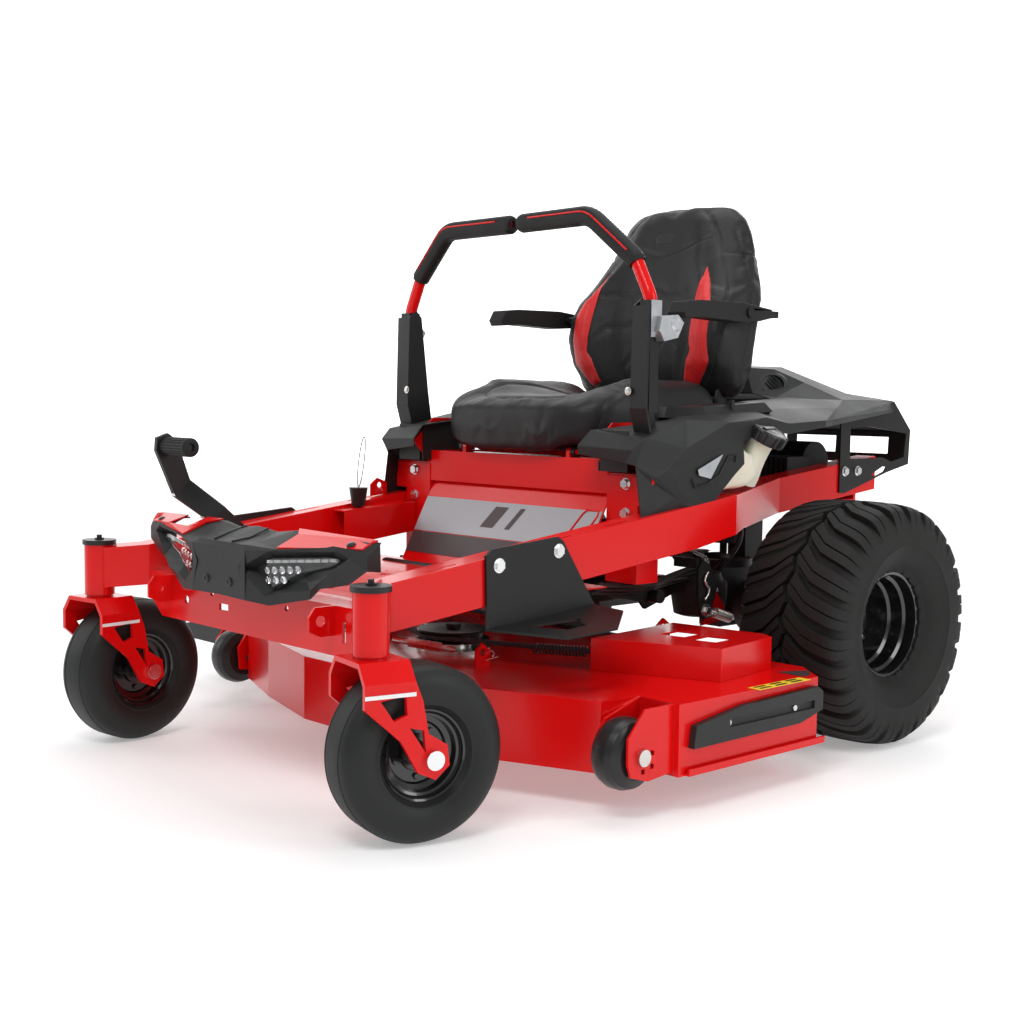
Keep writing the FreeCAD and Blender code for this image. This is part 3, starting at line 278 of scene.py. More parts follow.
def mesh_piece(name, verts, faces, finish, body, stands_for=(), angle=None):
    data = bpy.data.meshes.new(name)
    data.from_pydata([tuple(v) for v in verts], [], faces)
    data.validate()
    bm = bmesh.new()
    bm.from_mesh(data)
    bmesh.ops.recalc_face_normals(bm, faces=bm.faces)
    bm.to_mesh(data)
    bm.free()
    return finish_piece(bpy.data.objects.new(name, data), finish, body, stands_for, angle)


def facets(name, verts, faces, finish, body, stands_for=(), wall=0.0, round_by=0.0025, mirrored=False):
    """Faceted moulding from corner points in millimetres, with rounded edges and a wall thickness."""
    verts = [tuple(p) for p in verts]
    faces = [tuple(f) for f in faces]
    if mirrored:
        n = len(verts)
        verts = verts + [(-x, y, z) for x, y, z in verts]
        faces = faces + [tuple(i + n for i in reversed(f)) for f in faces]
    obj = mesh_piece(name, points(verts), faces, finish, body, stands_for)
    if wall:
        solid = obj.modifiers.new("wall", "SOLIDIFY")
        solid.thickness = wall / 1000
        solid.offset = -1
    soften(obj, round_by, 2, 12)
    return obj


def frame_of(axis):
    axis = Vector(axis).normalized()
    side = Vector((0, 0, 1)) if abs(axis.z) < 0.9 else Vector((1, 0, 0))
    u = axis.cross(side).normalized()
    return axis, u, axis.cross(u)


def lathe(name, profile, centre, axis, finish, body, stands_for=(), steps=72, angle=32, closed=True):
    """Turns a profile of (along, radius) in millimetres about an axis through centre."""
    axis, u, v = frame_of(axis)
    base = W(*centre)
    verts = []
    for k in range(steps):
        t = 2 * math.pi * k / steps
        out = u * math.cos(t) + v * math.sin(t)
        verts += [base + axis * (a / 1000) + out * (r / 1000) for a, r in profile]
    n = len(profile)
    faces = []
    for k in range(steps):
        a, b = k * n, ((k + 1) % steps) * n
        for i in range(n if closed else n - 1):
            j = (i + 1) % n
            faces.append((a + i, b + i, b + j, a + j))
    return mesh_piece(name, verts, faces, finish, body, stands_for, angle)


def tube(name, pts, r, finish, body, cyclic=False, smooth=True, caps=True):
    """Round wire, hose or bar through points in millimetres."""
    data = bpy.data.curves.new(name, "CURVE")
    data.dimensions = "3D"
    data.bevel_depth = r / 1000
    data.bevel_resolution = 3
    data.use_fill_caps = caps
    line = data.splines.new("NURBS" if smooth else "POLY")
    line.points.add(len(pts) - 1)
    for p, q in zip(line.points, pts):
        p.co = (*W(*q), 1)
    if smooth:
        line.order_u = 3
        line.use_endpoint_u = not cyclic
    line.use_cyclic_u = cyclic
    data.materials.append(MAT[finish])
    obj = bpy.data.objects.new(name, data)
    bpy.context.scene.collection.objects.link(obj)
    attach(obj, body)
    return obj


def joined(name, parts, finish, body, stands_for=(), angle=32):
    """One mesh from several (verts, faces) lists."""
    verts, faces = [], []
    for vs, fs in parts:
        n = len(verts)
        verts += list(vs)
        faces += [tuple(i + n for i in f) for f in fs]
    return mesh_piece(name, verts, faces, finish, body, stands_for, angle)


def turned(profile, centre, axis, steps=24):
    """(verts, faces) of a small turned part whose profile starts and ends on the axis."""
    axis, u, v = frame_of(axis)
    base = W(*centre)
    verts, faces = [], []
    n = len(profile)
    for k in range(steps):
        t = 2 * math.pi * k / steps
        out = u * math.cos(t) + v * math.sin(t)
        verts += [base + axis * (a / 1000) + out * (r / 1000) for a, r in profile]
    for k in range(steps):
        a, b = k * n, ((k + 1) % steps) * n
        faces += [(a + i, b + i, b + i + 1, a + i + 1) for i in range(n - 1)]
    faces.append(tuple(k * n for k in range(steps)))
    faces.append(tuple((steps - 1 - k) * n + n - 1 for k in range(steps)))
    return verts, faces


def hex_head(centre, axis, flat=9.0, height=7.0, washer=True):
    """Flanged hexagon head standing on the surface at centre."""
    out = [turned([(0, flat * 0.98), (height - 1, flat * 0.98), (height, flat * 0.86)], centre, axis, 6)]
    if washer:
        out.append(turned([(0, flat * 1.45), (1.4, flat * 1.45), (1.8, flat * 1.3)], centre, axis, 28))
    return out


def slab(corners, thickness, axis=None):
    """(verts, faces) of a flat plate: corners in millimetres, thickened along its normal."""
    pts = points(corners)
    if axis is None:
        normal = (pts[1] - pts[0]).cross(pts[2] - pts[0]).normalized()
    else:
        normal = Vector(axis).normalized()
    n = len(pts)
    verts = pts + [p + normal * (thickness / 1000) for p in pts]
    faces = [tuple(range(n)), tuple(reversed(range(n, 2 * n)))]
    faces += [(i, (i + 1) % n, n + (i + 1) % n, n + i) for i in range(n)]
    return verts, faces


def rounded_path(corners, radius, step=3.0):
    """Points along straight runs with arcs of that radius at the inner corners, in millimetres."""
    pts = [Vector(c) for c in corners]
    out = [pts[0]]
    for i in range(1, len(pts) - 1):
        back = (pts[i - 1] - pts[i]).normalized()
        ahead = (pts[i + 1] - pts[i]).normalized()
        half = back.angle(ahead) / 2
        reach = radius / math.tan(half)
        middle = pts[i] + (back + ahead).normalized() * (radius / math.sin(half))
        a, b = pts[i] + back * reach - middle, pts[i] + ahead * reach - middle
        turns = max(2, int(radius * (math.pi - 2 * half) / step))
        for k in range(turns + 1):
            out.append(middle + a.slerp(b, k / turns).normalized() * radius)
    out.append(pts[-1])
    even = [out[0]]
    for a, b in zip(out, out[1:]):
        n = max(1, round((b - a).length / step))
        even += [a + (b - a) * (k / n) for k in range(1, n + 1)]
    return even


def swept(path, radius_at, sides=28):
    """(verts, faces) of a closed tube along path, its radius radius_at(distance, angle) in millimetres."""
    verts, faces, run = [], [], 0.0
    up = Vector((0, -1, 0))
    for i, p in enumerate(path):
        ahead = path[min(i + 1, len(path) - 1)] - path[max(i - 1, 0)]
        ahead.normalize()
        u = (up - ahead * up.dot(ahead)).normalized()
        v = ahead.cross(u)
        if i:
            run += (p - path[i - 1]).length
        for k in range(sides):
            t = 2 * math.pi * k / sides
            q = p + (u * math.cos(t) + v * math.sin(t)) * radius_at(run, t)
            verts.append(W(*q))
    n = len(path)
    for i in range(n - 1):
        for k in range(sides):
            m = (k + 1) % sides
            faces.append((i * sides + k, i * sides + m, (i + 1) * sides + m, (i + 1) * sides + k))
    faces.append(tuple(range(sides)))
    faces.append(tuple((n - 1) * sides + k for k in reversed(range(sides))))
    return verts, faces


make_camera()
make_stage()

# CAD nodes by finish.
FINISH = {
    "red": (
        "left_rail right_rail front_crossmember foot_pan seat_support riser_panel "
        "engine_plate panel_top_plates left_caster_fork right_caster_fork left_lap_bar "
        "right_lap_bar deck_shell belt_covers"
    ),
    "black_paint": (
        "step_plates rear_guard seat_pan left_lever_bracket right_lever_bracket "
        "left_lap_bar_clamp right_lap_bar_clamp lift_pedal left_blade_spindle "
        "centre_blade_spindle right_blade_spindle"
    ),
    "plastic": (
        "headlight_panel control_pods fenders engine_hood fuel_cap deck_bumper "
        "discharge_chute"
    ),
    "smooth_plastic": "caster_caps left_anti_scalp_wheel right_anti_scalp_wheel height_pin",
    "tank": "fuel_tank",
    "lens": "headlight_lenses",
    "cast": "engine transaxles",
    "tyre": "left_rear_tyre right_rear_tyre",
    "smooth_tyre": "left_caster_tyre right_caster_tyre",
    "gloss_black": "left_rear_rim right_rear_rim left_caster_rim right_caster_rim",
    "chrome": "left_caster_axle right_caster_axle frame_bolts",
    "zinc": "deck_hardware",
    "leather": "seat_cushion seat_backrest",
    "rubber": "left_armrest right_armrest left_lap_bar_grip right_lap_bar_grip pedal_peg",
    "belt": "deck_belt",
}
# The clamp's knob is what stands further out than this.
KNOB_X = 368.5


def dress_nodes():
    for finish, names in FINISH.items():
        for name in names.split():
            dress(name, finish, 0.009 if "armrest" in name else 0.0012)
    for s, label in SIDES:
        clamp = nodes[label + "_lap_bar_clamp"]
        clamp.data.materials.append(MAT["silver"])
        for face in clamp.data.polygons:
            place = clamp.matrix_world @ face.center
            if s * (place.x * 1000 - ORIGIN[0]) > KNOB_X:
                face.material_index = 1


dress_nodes()


# ---------------------------------------------------------------- wheels

# Half profile of the drive tyre as (distance from the middle, radius of the casing, lug height).
TREAD = [(4.5, 229, 0), (6, 229, 14), (22, 229, 14), (45, 228.5, 14), (70, 227.5, 14), (90, 225, 14),
         (104, 221, 14), (113, 214, 13), (119, 204, 10), (122, 192, 6), (123, 180, 0), (123, 168, 0),
         (124, 165, 0), (124, 161, 0), (121, 158, 0), (115, 142, 0), (106, 126, 0), (98, 117, 0),
         (93, 112, 0), (88, 105, 0)]
LUGS = 24
# One pitch of tread: fraction of the pitch and whether the column stands on a lug.
PITCH = [(0.0, 0), (0.12, 0), (0.25, 0), (0.285, 1), (0.34, 1), (0.4, 1), (0.5, 1), (0.59, 1), (0.6, 0.55),
         (0.63, 0.55), (0.64, 1), (0.72, 1), (0.84, 1), (0.96, 1)]


def drive_tyre(name, side, node):
    """Tyre with 24 chevron lugs a side, half a pitch apart, and a zigzag groove between them."""
    rows = [(-a, r, h) for a, r, h in reversed(TREAD)] + [(0, 229, 0)] + TREAD
    columns = LUGS * len(PITCH)
    verts = []
    for c in range(columns):
        pitch, k = divmod(c, len(PITCH))
        turn = (pitch + PITCH[k][0]) * 2 * math.pi / LUGS
        zigzag = 6 * (2 * abs(2 * PITCH[k][0] - 1) - 1)
        for a, r, h in rows:
            reach = abs(a)
            half = 7 if a < 0 else 0
            on = PITCH[(k + half) % len(PITCH)][1]
            skew = (0.9 * min(reach, 48) + 0.35 * max(0, min(reach, 119) - 48)) / AXLE_Z
            height = r + h * on
            if on == 0 and 22 < reach < 90:
                height += 2.0
            across = a + zigzag * max(0, 1 - reach / 40)
            t = turn - skew
            y, z = height * math.sin(t), height * math.cos(t)
            verts.append(W(side * DRIVE_X + across, AXLE_Y + y, AXLE_Z + z))
    n = len(rows)
    faces = []
    for c in range(columns):
        p, q = c * n, ((c + 1) % columns) * n
        faces += [(p + i, q + i, q + (i + 1) % n, p + (i + 1) % n) for i in range(n)]
    obj = mesh_piece(name, verts, faces, "tyre", node.replace("_tyre", "_wheel"), [node], 28)
    soften(obj, 0.0012, 1, 40)
    return obj


RIM = [(94, 118), (96, 116), (93, 112), (84, 108), (82, 100), (60, 98), (56, 92), (30, 90), (26, 84),
       (-10, 82), (-20, 76), (-24, 60), (-24, 50), (-30, 44), (-30, 14), (-34, 14), (-34, 48), (-30, 56),
       (-30, 64), (-26, 80), (-14, 87), (20, 92), (50, 95), (58, 101), (-84, 101), (-86, 108), (-95, 113),
       (-97, 117), (-94, 119), (-88, 112), (-84, 104), (80, 104), (84, 112), (90, 117)]
SMALL_TYRE = [(0, 139.7), (8, 139.7), (15, 139.4), (22, 138.6), (28, 137.5), (33, 135.6), (38, 133),
              (42, 129.4), (45, 125), (47.6, 120), (49.5, 115), (50.8, 109), (51, 104), (50, 94), (46, 84),
              (43.6, 80), (43.8, 79), (40, 76), (36, 73), (33, 70), (28, 64)]
SMALL_RIM = [(34, 73), (36, 71), (34, 68), (28, 66), (26, 60), (14, 58), (12, 50), (8, 47), (8, 30),
             (14, 28), (14, 22), (24, 20), (50, 20), (50, 10)]


def wheel_place(side):
    """Centre and axle direction of a caster wheel at rest, in millimetres."""
    turn = FORK_TURN[side]
    hub = (side * CASTER_X - TRAIL * math.sin(turn), TRAIL * math.cos(turn), CASTER_R)
    return hub, (math.cos(turn), math.sin(turn), 0)


def build_wheels():
    for side, label in SIDES:
        drive_tyre(label + "_drive_tyre", side, label + "_rear_tyre")
        centre = (side * DRIVE_X, AXLE_Y, AXLE_Z)
        out = Vector((side, 0, 0))
        body = label + "_rear_wheel"
        lathe(label + "_drive_rim", RIM, centre, out, "gloss_black", body, [], 96, 30)
        inner = [turned([(-161, 38), (-30, 38), (-30, 30)], centre, out, 40),
                 turned([(-276, 15), (-24, 15), (-18, 12)], centre, out, 24)]
        joined(label + "_drive_hub", inner, "cast", body, [label + "_rear_rim"])
        bolts = []
        for k in range(4):
            a = math.radians(45 + 90 * k)
            spot = (side * (DRIVE_X - 24), AXLE_Y + 58 * math.cos(a), AXLE_Z + 58 * math.sin(a))
            bolts.append(turned([(-4, 11), (2, 11), (4, 9.4), (14, 9.4), (16, 8)], spot, out, 6))
            bolts.append(turned([(14, 5), (22, 5), (23, 4)], spot, out, 14))
        joined(label + "_lug_nuts", bolts, "zinc", body)
        stem = (side * (DRIVE_X + 34), AXLE_Y - 60, AXLE_Z + 58)
        profile = [(0, 5), (6, 5), (10, 3.5), (22, 3.5), (23, 4.2), (31, 4.2), (32, 3)]
        joined(label + "_valve_stem", [turned(profile, stem, (side, 0.3, -0.3), 18)], "rubber", body)
        centre, axis = wheel_place(side)
        body = label + "_caster_wheel"
        loop = [(-a, r) for a, r in reversed(SMALL_TYRE[1:])] + SMALL_TYRE
        lathe(label + "_front_tyre", loop, centre, axis, "smooth_tyre", body,
              [label + "_caster_tyre"], 120, 60)
        for ring in (23.5, -23.5):
            lathe(label + "_tread_line", [(ring - 0.8, 138.2), (ring, 139.4), (ring + 0.8, 138.2)],
                  centre, axis, "smooth_tyre", body, [], 120, 60)
        back = [(-a, r) for a, r in reversed(SMALL_RIM)]
        shell = SMALL_RIM + [(-50, 10)] + back[1:] + [(-30, 76), (-22, 66), (22, 66), (30, 76)]
        lathe(label + "_front_rim", shell, centre, axis, "gloss_black", body, [label + "_caster_rim"], 72, 30)
        for s in (1, -1):
            fixings = []
            for k in range(5):
                a = 2 * math.pi * k / 5 + 0.3
                _, u, v = frame_of(axis)
                spot = Vector(centre) + Vector(axis) * (8 * s) + (u * math.cos(a) + v * math.sin(a)) * 38
                fixings += hex_head(spot, Vector(axis) * s, 5.6, 5, False)
            joined(label + "_rim_bolts", fixings, "gloss_black", body)
        _, u, v = frame_of(axis)
        spot = Vector(centre) + Vector(axis) * 26 + u * 50
        joined(label + "_front_valve", [turned([(0, 4), (5, 4), (7, 3), (20, 3), (24, 2.4)], spot,
                                               Vector(axis) - u * 0.35, 16)], "rubber", body)


# ---------------------------------------------------------------- seat

# Backrest sections: height, middle depth, bolster place and depth, edge place and depth, rear depth.
BACK = [(690, 1108, 110, 1085, 150, 1092, 215, 1160), (712, 1106, 125, 1070, 172, 1080, 232, 1172),
        (760, 1100, 150, 1054, 205, 1066, 238, 1186), (820, 1098, 165, 1050, 222, 1064, 240, 1200),
        (870, 1104, 172, 1060, 223, 1076, 240, 1210), (905, 1112, 168, 1076, 218, 1092, 236, 1218),
        (960, 1126, 145, 1106, 188, 1118, 218, 1230), (1010, 1142, 125, 1132, 155, 1140, 200, 1240),
        (1050, 1155, 108, 1150, 132, 1157, 186, 1247), (1085, 1166, 85, 1164, 105, 1170, 168, 1250),
        (1104, 1176, 60, 1177, 80, 1183, 145, 1247)]


def at_height(z):
    """Backrest section at that height, between the listed ones."""
    heights = [row[0] for row in BACK]
    return [float(np.interp(z, heights, [row[i] for row in BACK])) for i in range(1, 8)]


def back_outline(z, count=24):
    """Half section of the backrest from the middle of the front to the middle of the rear."""
    yc, xa, ya, xe, ye, xr, yr = at_height(z)
    knots = [(0, yc), (xa * 0.55, yc - 1), (xa, ya), (xe, ye), (xr - 2, (ye * 0.6 + yr * 0.4)), (xr, yr - 26),
             (xr - 18, yr - 3), (xr * 0.6, yr + 2), (0, yr + 4)]
    run = [0.0]
    for a, b in zip(knots, knots[1:]):
        run.append(run[-1] + math.hypot(b[0] - a[0], b[1] - a[1]))
    spots = np.linspace(0, run[-1], count)
    return [(float(np.interp(s, run, [k[0] for k in knots])), float(np.interp(s, run, [k[1] for k in knots])))
            for s in spots]


def loft(name, loops, finish, body, stands_for=()):
    """Closed skin through loops of equal length, capped at both ends."""
    verts = [W(*p) for loop in loops for p in loop]
    n = len(loops[0])
    faces = []
    for i in range(len(loops) - 1):
        faces += [(i * n + k, i * n + (k + 1) % n, (i + 1) * n + (k + 1) % n, (i + 1) * n + k)
                  for k in range(n)]
    faces.append(tuple(reversed(range(n))))
    faces.append(tuple((len(loops) - 1) * n + k for k in range(n)))
    return mesh_piece(name, verts, faces, finish, body, stands_for)


def settle(obj, voxel, pressure, cap, rounds=20, smooth=4):
    """Remeshes a cushion evenly, fills it by a short pressure simulation and keeps the swelling below cap."""
    depsgraph = bpy.context.evaluated_depsgraph_get
    remesh = obj.modifiers.new("even", "REMESH")
    remesh.mode = "VOXEL"
    remesh.voxel_size = voxel
    even = bpy.data.meshes.new_from_object(obj.evaluated_get(depsgraph()))
    obj.modifiers.clear()
    obj.data = even
    relax = obj.modifiers.new("relax", "SMOOTH")
    relax.factor = 0.5
    relax.iterations = smooth
    even = bpy.data.meshes.new_from_object(obj.evaluated_get(depsgraph()))
    obj.modifiers.clear()
    obj.data = even
    start = np.empty(len(even.vertices) * 3)
    even.vertices.foreach_get("co", start)
    cloth = obj.modifiers.new("fill", "CLOTH")
    cloth.settings.quality = 5
    cloth.settings.mass = 0.3
    cloth.settings.tension_stiffness = 60
    cloth.settings.compression_stiffness = 60
    cloth.settings.shear_stiffness = 20
    cloth.settings.bending_stiffness = 4
    cloth.settings.use_pressure = True
    cloth.settings.uniform_pressure_force = pressure
    cloth.settings.effector_weights.gravity = 0
    cloth.collision_settings.use_collision = False
    scene = bpy.context.scene
    for number in range(1, rounds + 1):
        scene.frame_set(number)
    filled = bpy.data.meshes.new_from_object(obj.evaluated_get(depsgraph()))
    end = np.empty(len(filled.vertices) * 3)
    filled.vertices.foreach_get("co", end)
    scene.frame_set(1)
    obj.modifiers.clear()
    move = (end - start).reshape(-1, 3)
    length = np.linalg.norm(move, axis=1, keepdims=True)
    move *= np.minimum(1, cap / np.maximum(length, 1e-9))
    filled.vertices.foreach_set("co", (start.reshape(-1, 3) + move).ravel())
    obj.data = filled
    obj.data.polygons.foreach_set("use_smooth", [True] * len(obj.data.polygons))
    return obj


def surface_of(obj):
    """Search tree of a mesh as it stands."""
    verts = [v.co.copy() for v in obj.data.vertices]
    return BVHTree.FromPolygons(verts, [tuple(p.vertices) for p in obj.data.polygons])


def sink(obj, lines, depth=3.0, width=7.0):
    """Presses seam lines (in millimetres) into a smooth cushion."""
    co = np.empty(len(obj.data.vertices) * 3)
    obj.data.vertices.foreach_get("co", co)
    co = co.reshape(-1, 3)
    normal = np.empty(len(obj.data.vertices) * 3)
    obj.data.vertices.foreach_get("normal", normal)
    normal = normal.reshape(-1, 3)
    near = np.full(len(co), 1e9)
    for line in lines:
        pts = np.array([tuple(p) for p in line])
        for a, b in zip(pts, pts[1:]):
            d = b - a
            t = np.clip(((co - a) @ d) / max(d @ d, 1e-12), 0, 1)
            near = np.minimum(near, np.linalg.norm(co - (a + t[:, None] * d), axis=1))
    co -= normal * (depth / 1000) * np.exp(-(near / (width / 1000)) ** 2)[:, None]
    obj.data.vertices.foreach_set("co", co.ravel())


def laid_on(tree, pts, way, lift=0.6, gap=6.0, start=400.0):
    """Points in millimetres dropped on a surface along a direction, at most gap apart, a little above it."""
    way = Vector(way).normalized()
    line = []
    for a, b in zip(pts, pts[1:]):
        a, b = Vector(a), Vector(b)
        n = max(1, int((b - a).length / gap))
        line += [a.lerp(b, k / n) for k in range(n)]
    line.append(Vector(pts[-1]))
    out = []
    for p in line:
        hit, normal, _, _ = tree.ray_cast(W(*p) - way * (start / 1000), way)
        if hit is not None:
            out.append(hit + normal * (lift / 1000))
    return out


def stitched(name, line, body, pitch=5.0):
    """Short raised stitches along a line already in scene units."""
    parts = []
    run = 0.0
    for a, b in zip(line, line[1:]):
        length = (b - a).length
        if length < 1e-6:
            continue
        ahead = (b - a).normalized()
        while run < length:
            spot = a + ahead * run
            at = ((spot.x * 1000 - ORIGIN[0]), (spot.y * 1000 - ORIGIN[1]), spot.z * 1000)
            parts.append(turned([(-1.5, 0.35), (-1.0, 0.6), (1.0, 0.6), (1.5, 0.35)], at, ahead, 6))
            run += pitch / 1000
        run -= length
    return joined(name, parts, "thread", body, (), 60)


def patch_on(name, tree, outline, way, finish, body, lift=1.4, gap=7.0, start=400.0):
    """Panel whose outline, in millimetres, is dropped along a direction on to a curved surface."""
    corners = [Vector(p) for p in outline]
    flat = bmesh.new()
    ring = [flat.verts.new(c) for c in corners]
    flat.faces.new(ring)
    bmesh.ops.triangulate(flat, faces=flat.faces)
    for _ in range(6):
        long_ones = [e for e in flat.edges if e.calc_length() > gap]
        if not long_ones:
            break
        bmesh.ops.subdivide_edges(flat, edges=long_ones, cuts=1)
        bmesh.ops.triangulate(flat, faces=flat.faces)
    way = Vector(way).normalized()
    flat.verts.ensure_lookup_table()
    verts, keep = [], {}
    for v in flat.verts:
        hit, normal, _, _ = tree.ray_cast(W(*v.co) - way * (start / 1000), way)
        if hit is None:
            continue
        edge = any(e.is_boundary for e in v.link_edges)
        keep[v.index] = len(verts)
        verts.append(hit + normal * ((0.0 if edge else lift) / 1000))
    faces = [tuple(keep[v.index] for v in f.verts) for f in flat.faces
             if all(v.index in keep for v in f.verts)]
    flat.free()
    return mesh_piece(name, verts, faces, finish, body, (), 50)


def build_backrest():
    loops = []
    for z in list(range(690, 1100, 10)) + [1098, 1104]:
        half = back_outline(z)
        loop = [(x, y, z) for x, y in half] + [(-x, y, z) for x, y in reversed(half[1:-1])]
        loops.append(loop)
    for z, shrink in ((1109, 0.93), (1111.5, 0.8)):
        last = loops[len(range(690, 1100, 10)) + 1]
        middle = sum(p[1] for p in last) / len(last)
        loops.append([(x * shrink, middle + (y - middle) * shrink, z) for x, y, _ in last])
    back = loft("seat_back", loops, "leather", "seat", ["seat_backrest"])
    settle(back, 0.006, 4, 0.006)
    return back


def dome(x):
    """How far the cushion's bolster stands over its middle."""
    return 38 * math.exp(-((abs(x) - 195) / 55) ** 2)


def build_cushion():
    plan = [(0, 655), (60, 656), (100, 658), (140, 664), (170, 672), (195, 684), (215, 700), (230, 722),
            (238, 745), (244, 775), (246, 800), (247, 900), (246, 1000), (238, 1032), (225, 1060),
            (190, 1080), (150, 1088), (80, 1091), (0, 1092)]
    half = []
    for (xa, ya), (xb, yb) in zip(plan, plan[1:]):
        n = max(1, round(math.hypot(xb - xa, yb - ya) / 16))
        half += [(xa + (xb - xa) * k / n, ya + (yb - ya) * k / n) for k in range(n)]
    half.append(plan[-1])
    ring = half + [(-x, y) for x, y in reversed(half[1:-1])]
    middle = 860.0

    def top(x, y):
        rise = min(1, max(0, (y - 690) / 130))
        fall = 1 - 0.3 * max(0, (y - 1000) / 92)
        front = 12 * max(0, 1 - (y - 655) / 60)
        return 686 - front + dome(x) * rise * fall

    loops = []
    for level, scale in ((591, 0.93), (594, 0.965), (602, 0.99), (625, 1.0), (645, 1.0)):
        loop = []
        for x, y in ring:
            py = middle + (y - middle) * scale
            droop = 16 * (1 - (level - 591) / 54) * min(1, max(0, (682 - py) / 12))
            loop.append((x * scale, py, level - droop))
        loops.append(loop)
    for share, scale in ((0.42, 0.995), (0.72, 0.975), (0.9, 0.94), (0.99, 0.88), (1.0, 0.78), (1.0, 0.6),
                         (1.0, 0.4), (1.0, 0.2), (1.0, 0.06)):
        loop = []
        for x, y in ring:
            px, py = x * scale, middle + (y - middle) * scale
            loop.append((px, py, 645 + (top(px, py) - 645) * share))
        loops.append(loop)
    base = loft("seat_base", loops, "leather", "seat", ["seat_cushion"])
    settle(base, 0.006, 4, 0.006)
    return base


def build_seat():
    back = build_backrest()
    base = build_cushion()
    back_tree = surface_of(back)
    base_tree = surface_of(base)
    front = (0, 1, 0)
    lines = []
    head = [(x, 900, 1003 + 37 * (abs(x) / 125) ** 1.4) for x in range(-125, 126, 10)]
    lines.append(laid_on(back_tree, head, front, 0))
    accent = [(143, 972), (172, 925), (198, 880), (196, 765), (156, 712), (122, 724), (140, 775),
              (158, 800), (160, 895)]
    for s in (1, -1):
        edge = [(s * at_height(z)[3], 900, z) for z in range(700, 1100, 12)]
        lines.append(laid_on(back_tree, edge, front, 0))
        ring = [(s * x, 900, z) for x, z in accent + accent[:1]]
        lines.append(laid_on(back_tree, ring, front, 0))
        side = [(s * 400, y, 1005 - (y - 1150) * 0.1) for y in range(1150, 1232, 8)]
        lines.append(laid_on(back_tree, side, (-s, 0, 0), 0))
        rear = [(s * 400, 1120 + (z - 700) * 0.19, z) for z in range(700, 1060, 12)]
        lines.append(laid_on(back_tree, rear, (-s, 0, 0), 0))
    hexes = [[(-134, 920), (-72, 920), (-58, 919), (-30, 928), (13, 934), (40, 920), (100, 921)],
             [(-118, 846), (-140, 822), (-161, 795)], [(51, 823), (70, 810), (88, 798)],
             [(-70, 760), (-40, 790), (20, 790), (51, 823), (30, 860), (-30, 862), (-58, 919)],
             [(-118, 846), (-70, 846), (-30, 862)]]
    for path in hexes:
        lines.append(laid_on(back_tree, [(x, 900, z) for x, z in path], front, 0))
    sink(back, lines, 2.6, 5.0)
    back_tree = surface_of(back)
    for number, line in enumerate(lines):
        lifted = laid_again(back_tree, line)
        if len(lifted) > 2:
            stitched("back_stitches_%d" % number, lifted, "seat", 4.6)
    for s, label in SIDES:
        outline = [(s * x, 900, z) for x, z in accent]
        patch_on(label + "_red_panel", back_tree, outline, front, "red_leather", "seat", 1.6)
    badge = [(-24, 900, 1052), (24, 900, 1052), (30, 900, 1046), (24, 900, 1032), (-24, 900, 1032),
             (-30, 900, 1046)]
    patch_on("back_badge", back_tree, badge, front, "plastic", "seat", 0.9)
    lines = []
    oval = []
    for k in range(49):
        t = 2 * math.pi * k / 48
        c, s = math.cos(t), math.sin(t)
        oval.append((165 * math.copysign(abs(c) ** 0.7, c), 832 + 130 * math.copysign(abs(s) ** 0.7, s), 800))
    lines.append(laid_on(base_tree, oval, (0, 0, -1), 0))
    for s in (1, -1):
        side = [(s * 222, 705, 600), (s * 226, 712, 640), (s * 222, 735, 675), (s * 215, 800, 705),
                (s * 200, 880, 720), (s * 190, 960, 716), (s * 186, 1050, 700)]
        spine = []
        for a, b in zip(side, side[1:]):
            n = max(1, int(math.dist(a, b) / 8))
            spine += [tuple(a[i] + (b[i] - a[i]) * k / n for i in range(3)) for k in range(n)]
        lines.append([base_tree.find_nearest(W(*p))[0] for p in spine])
    sink(base, lines, 3.0, 6.0)
    base_tree = surface_of(base)
    for number, line in enumerate(lines):
        stitched("cushion_stitches_%d" % number, laid_again(base_tree, line), "seat", 4.6)


def laid_again(tree, line, lift=0.3):
    """A line in scene units put back on a surface that has moved a little."""
    out = []
    for p in line:
        hit, normal, _, _ = tree.find_nearest(p)
        if hit is not None:
            out.append(hit + normal * (lift / 1000))
    return out


# ---------------------------------------------------------------- black mouldings


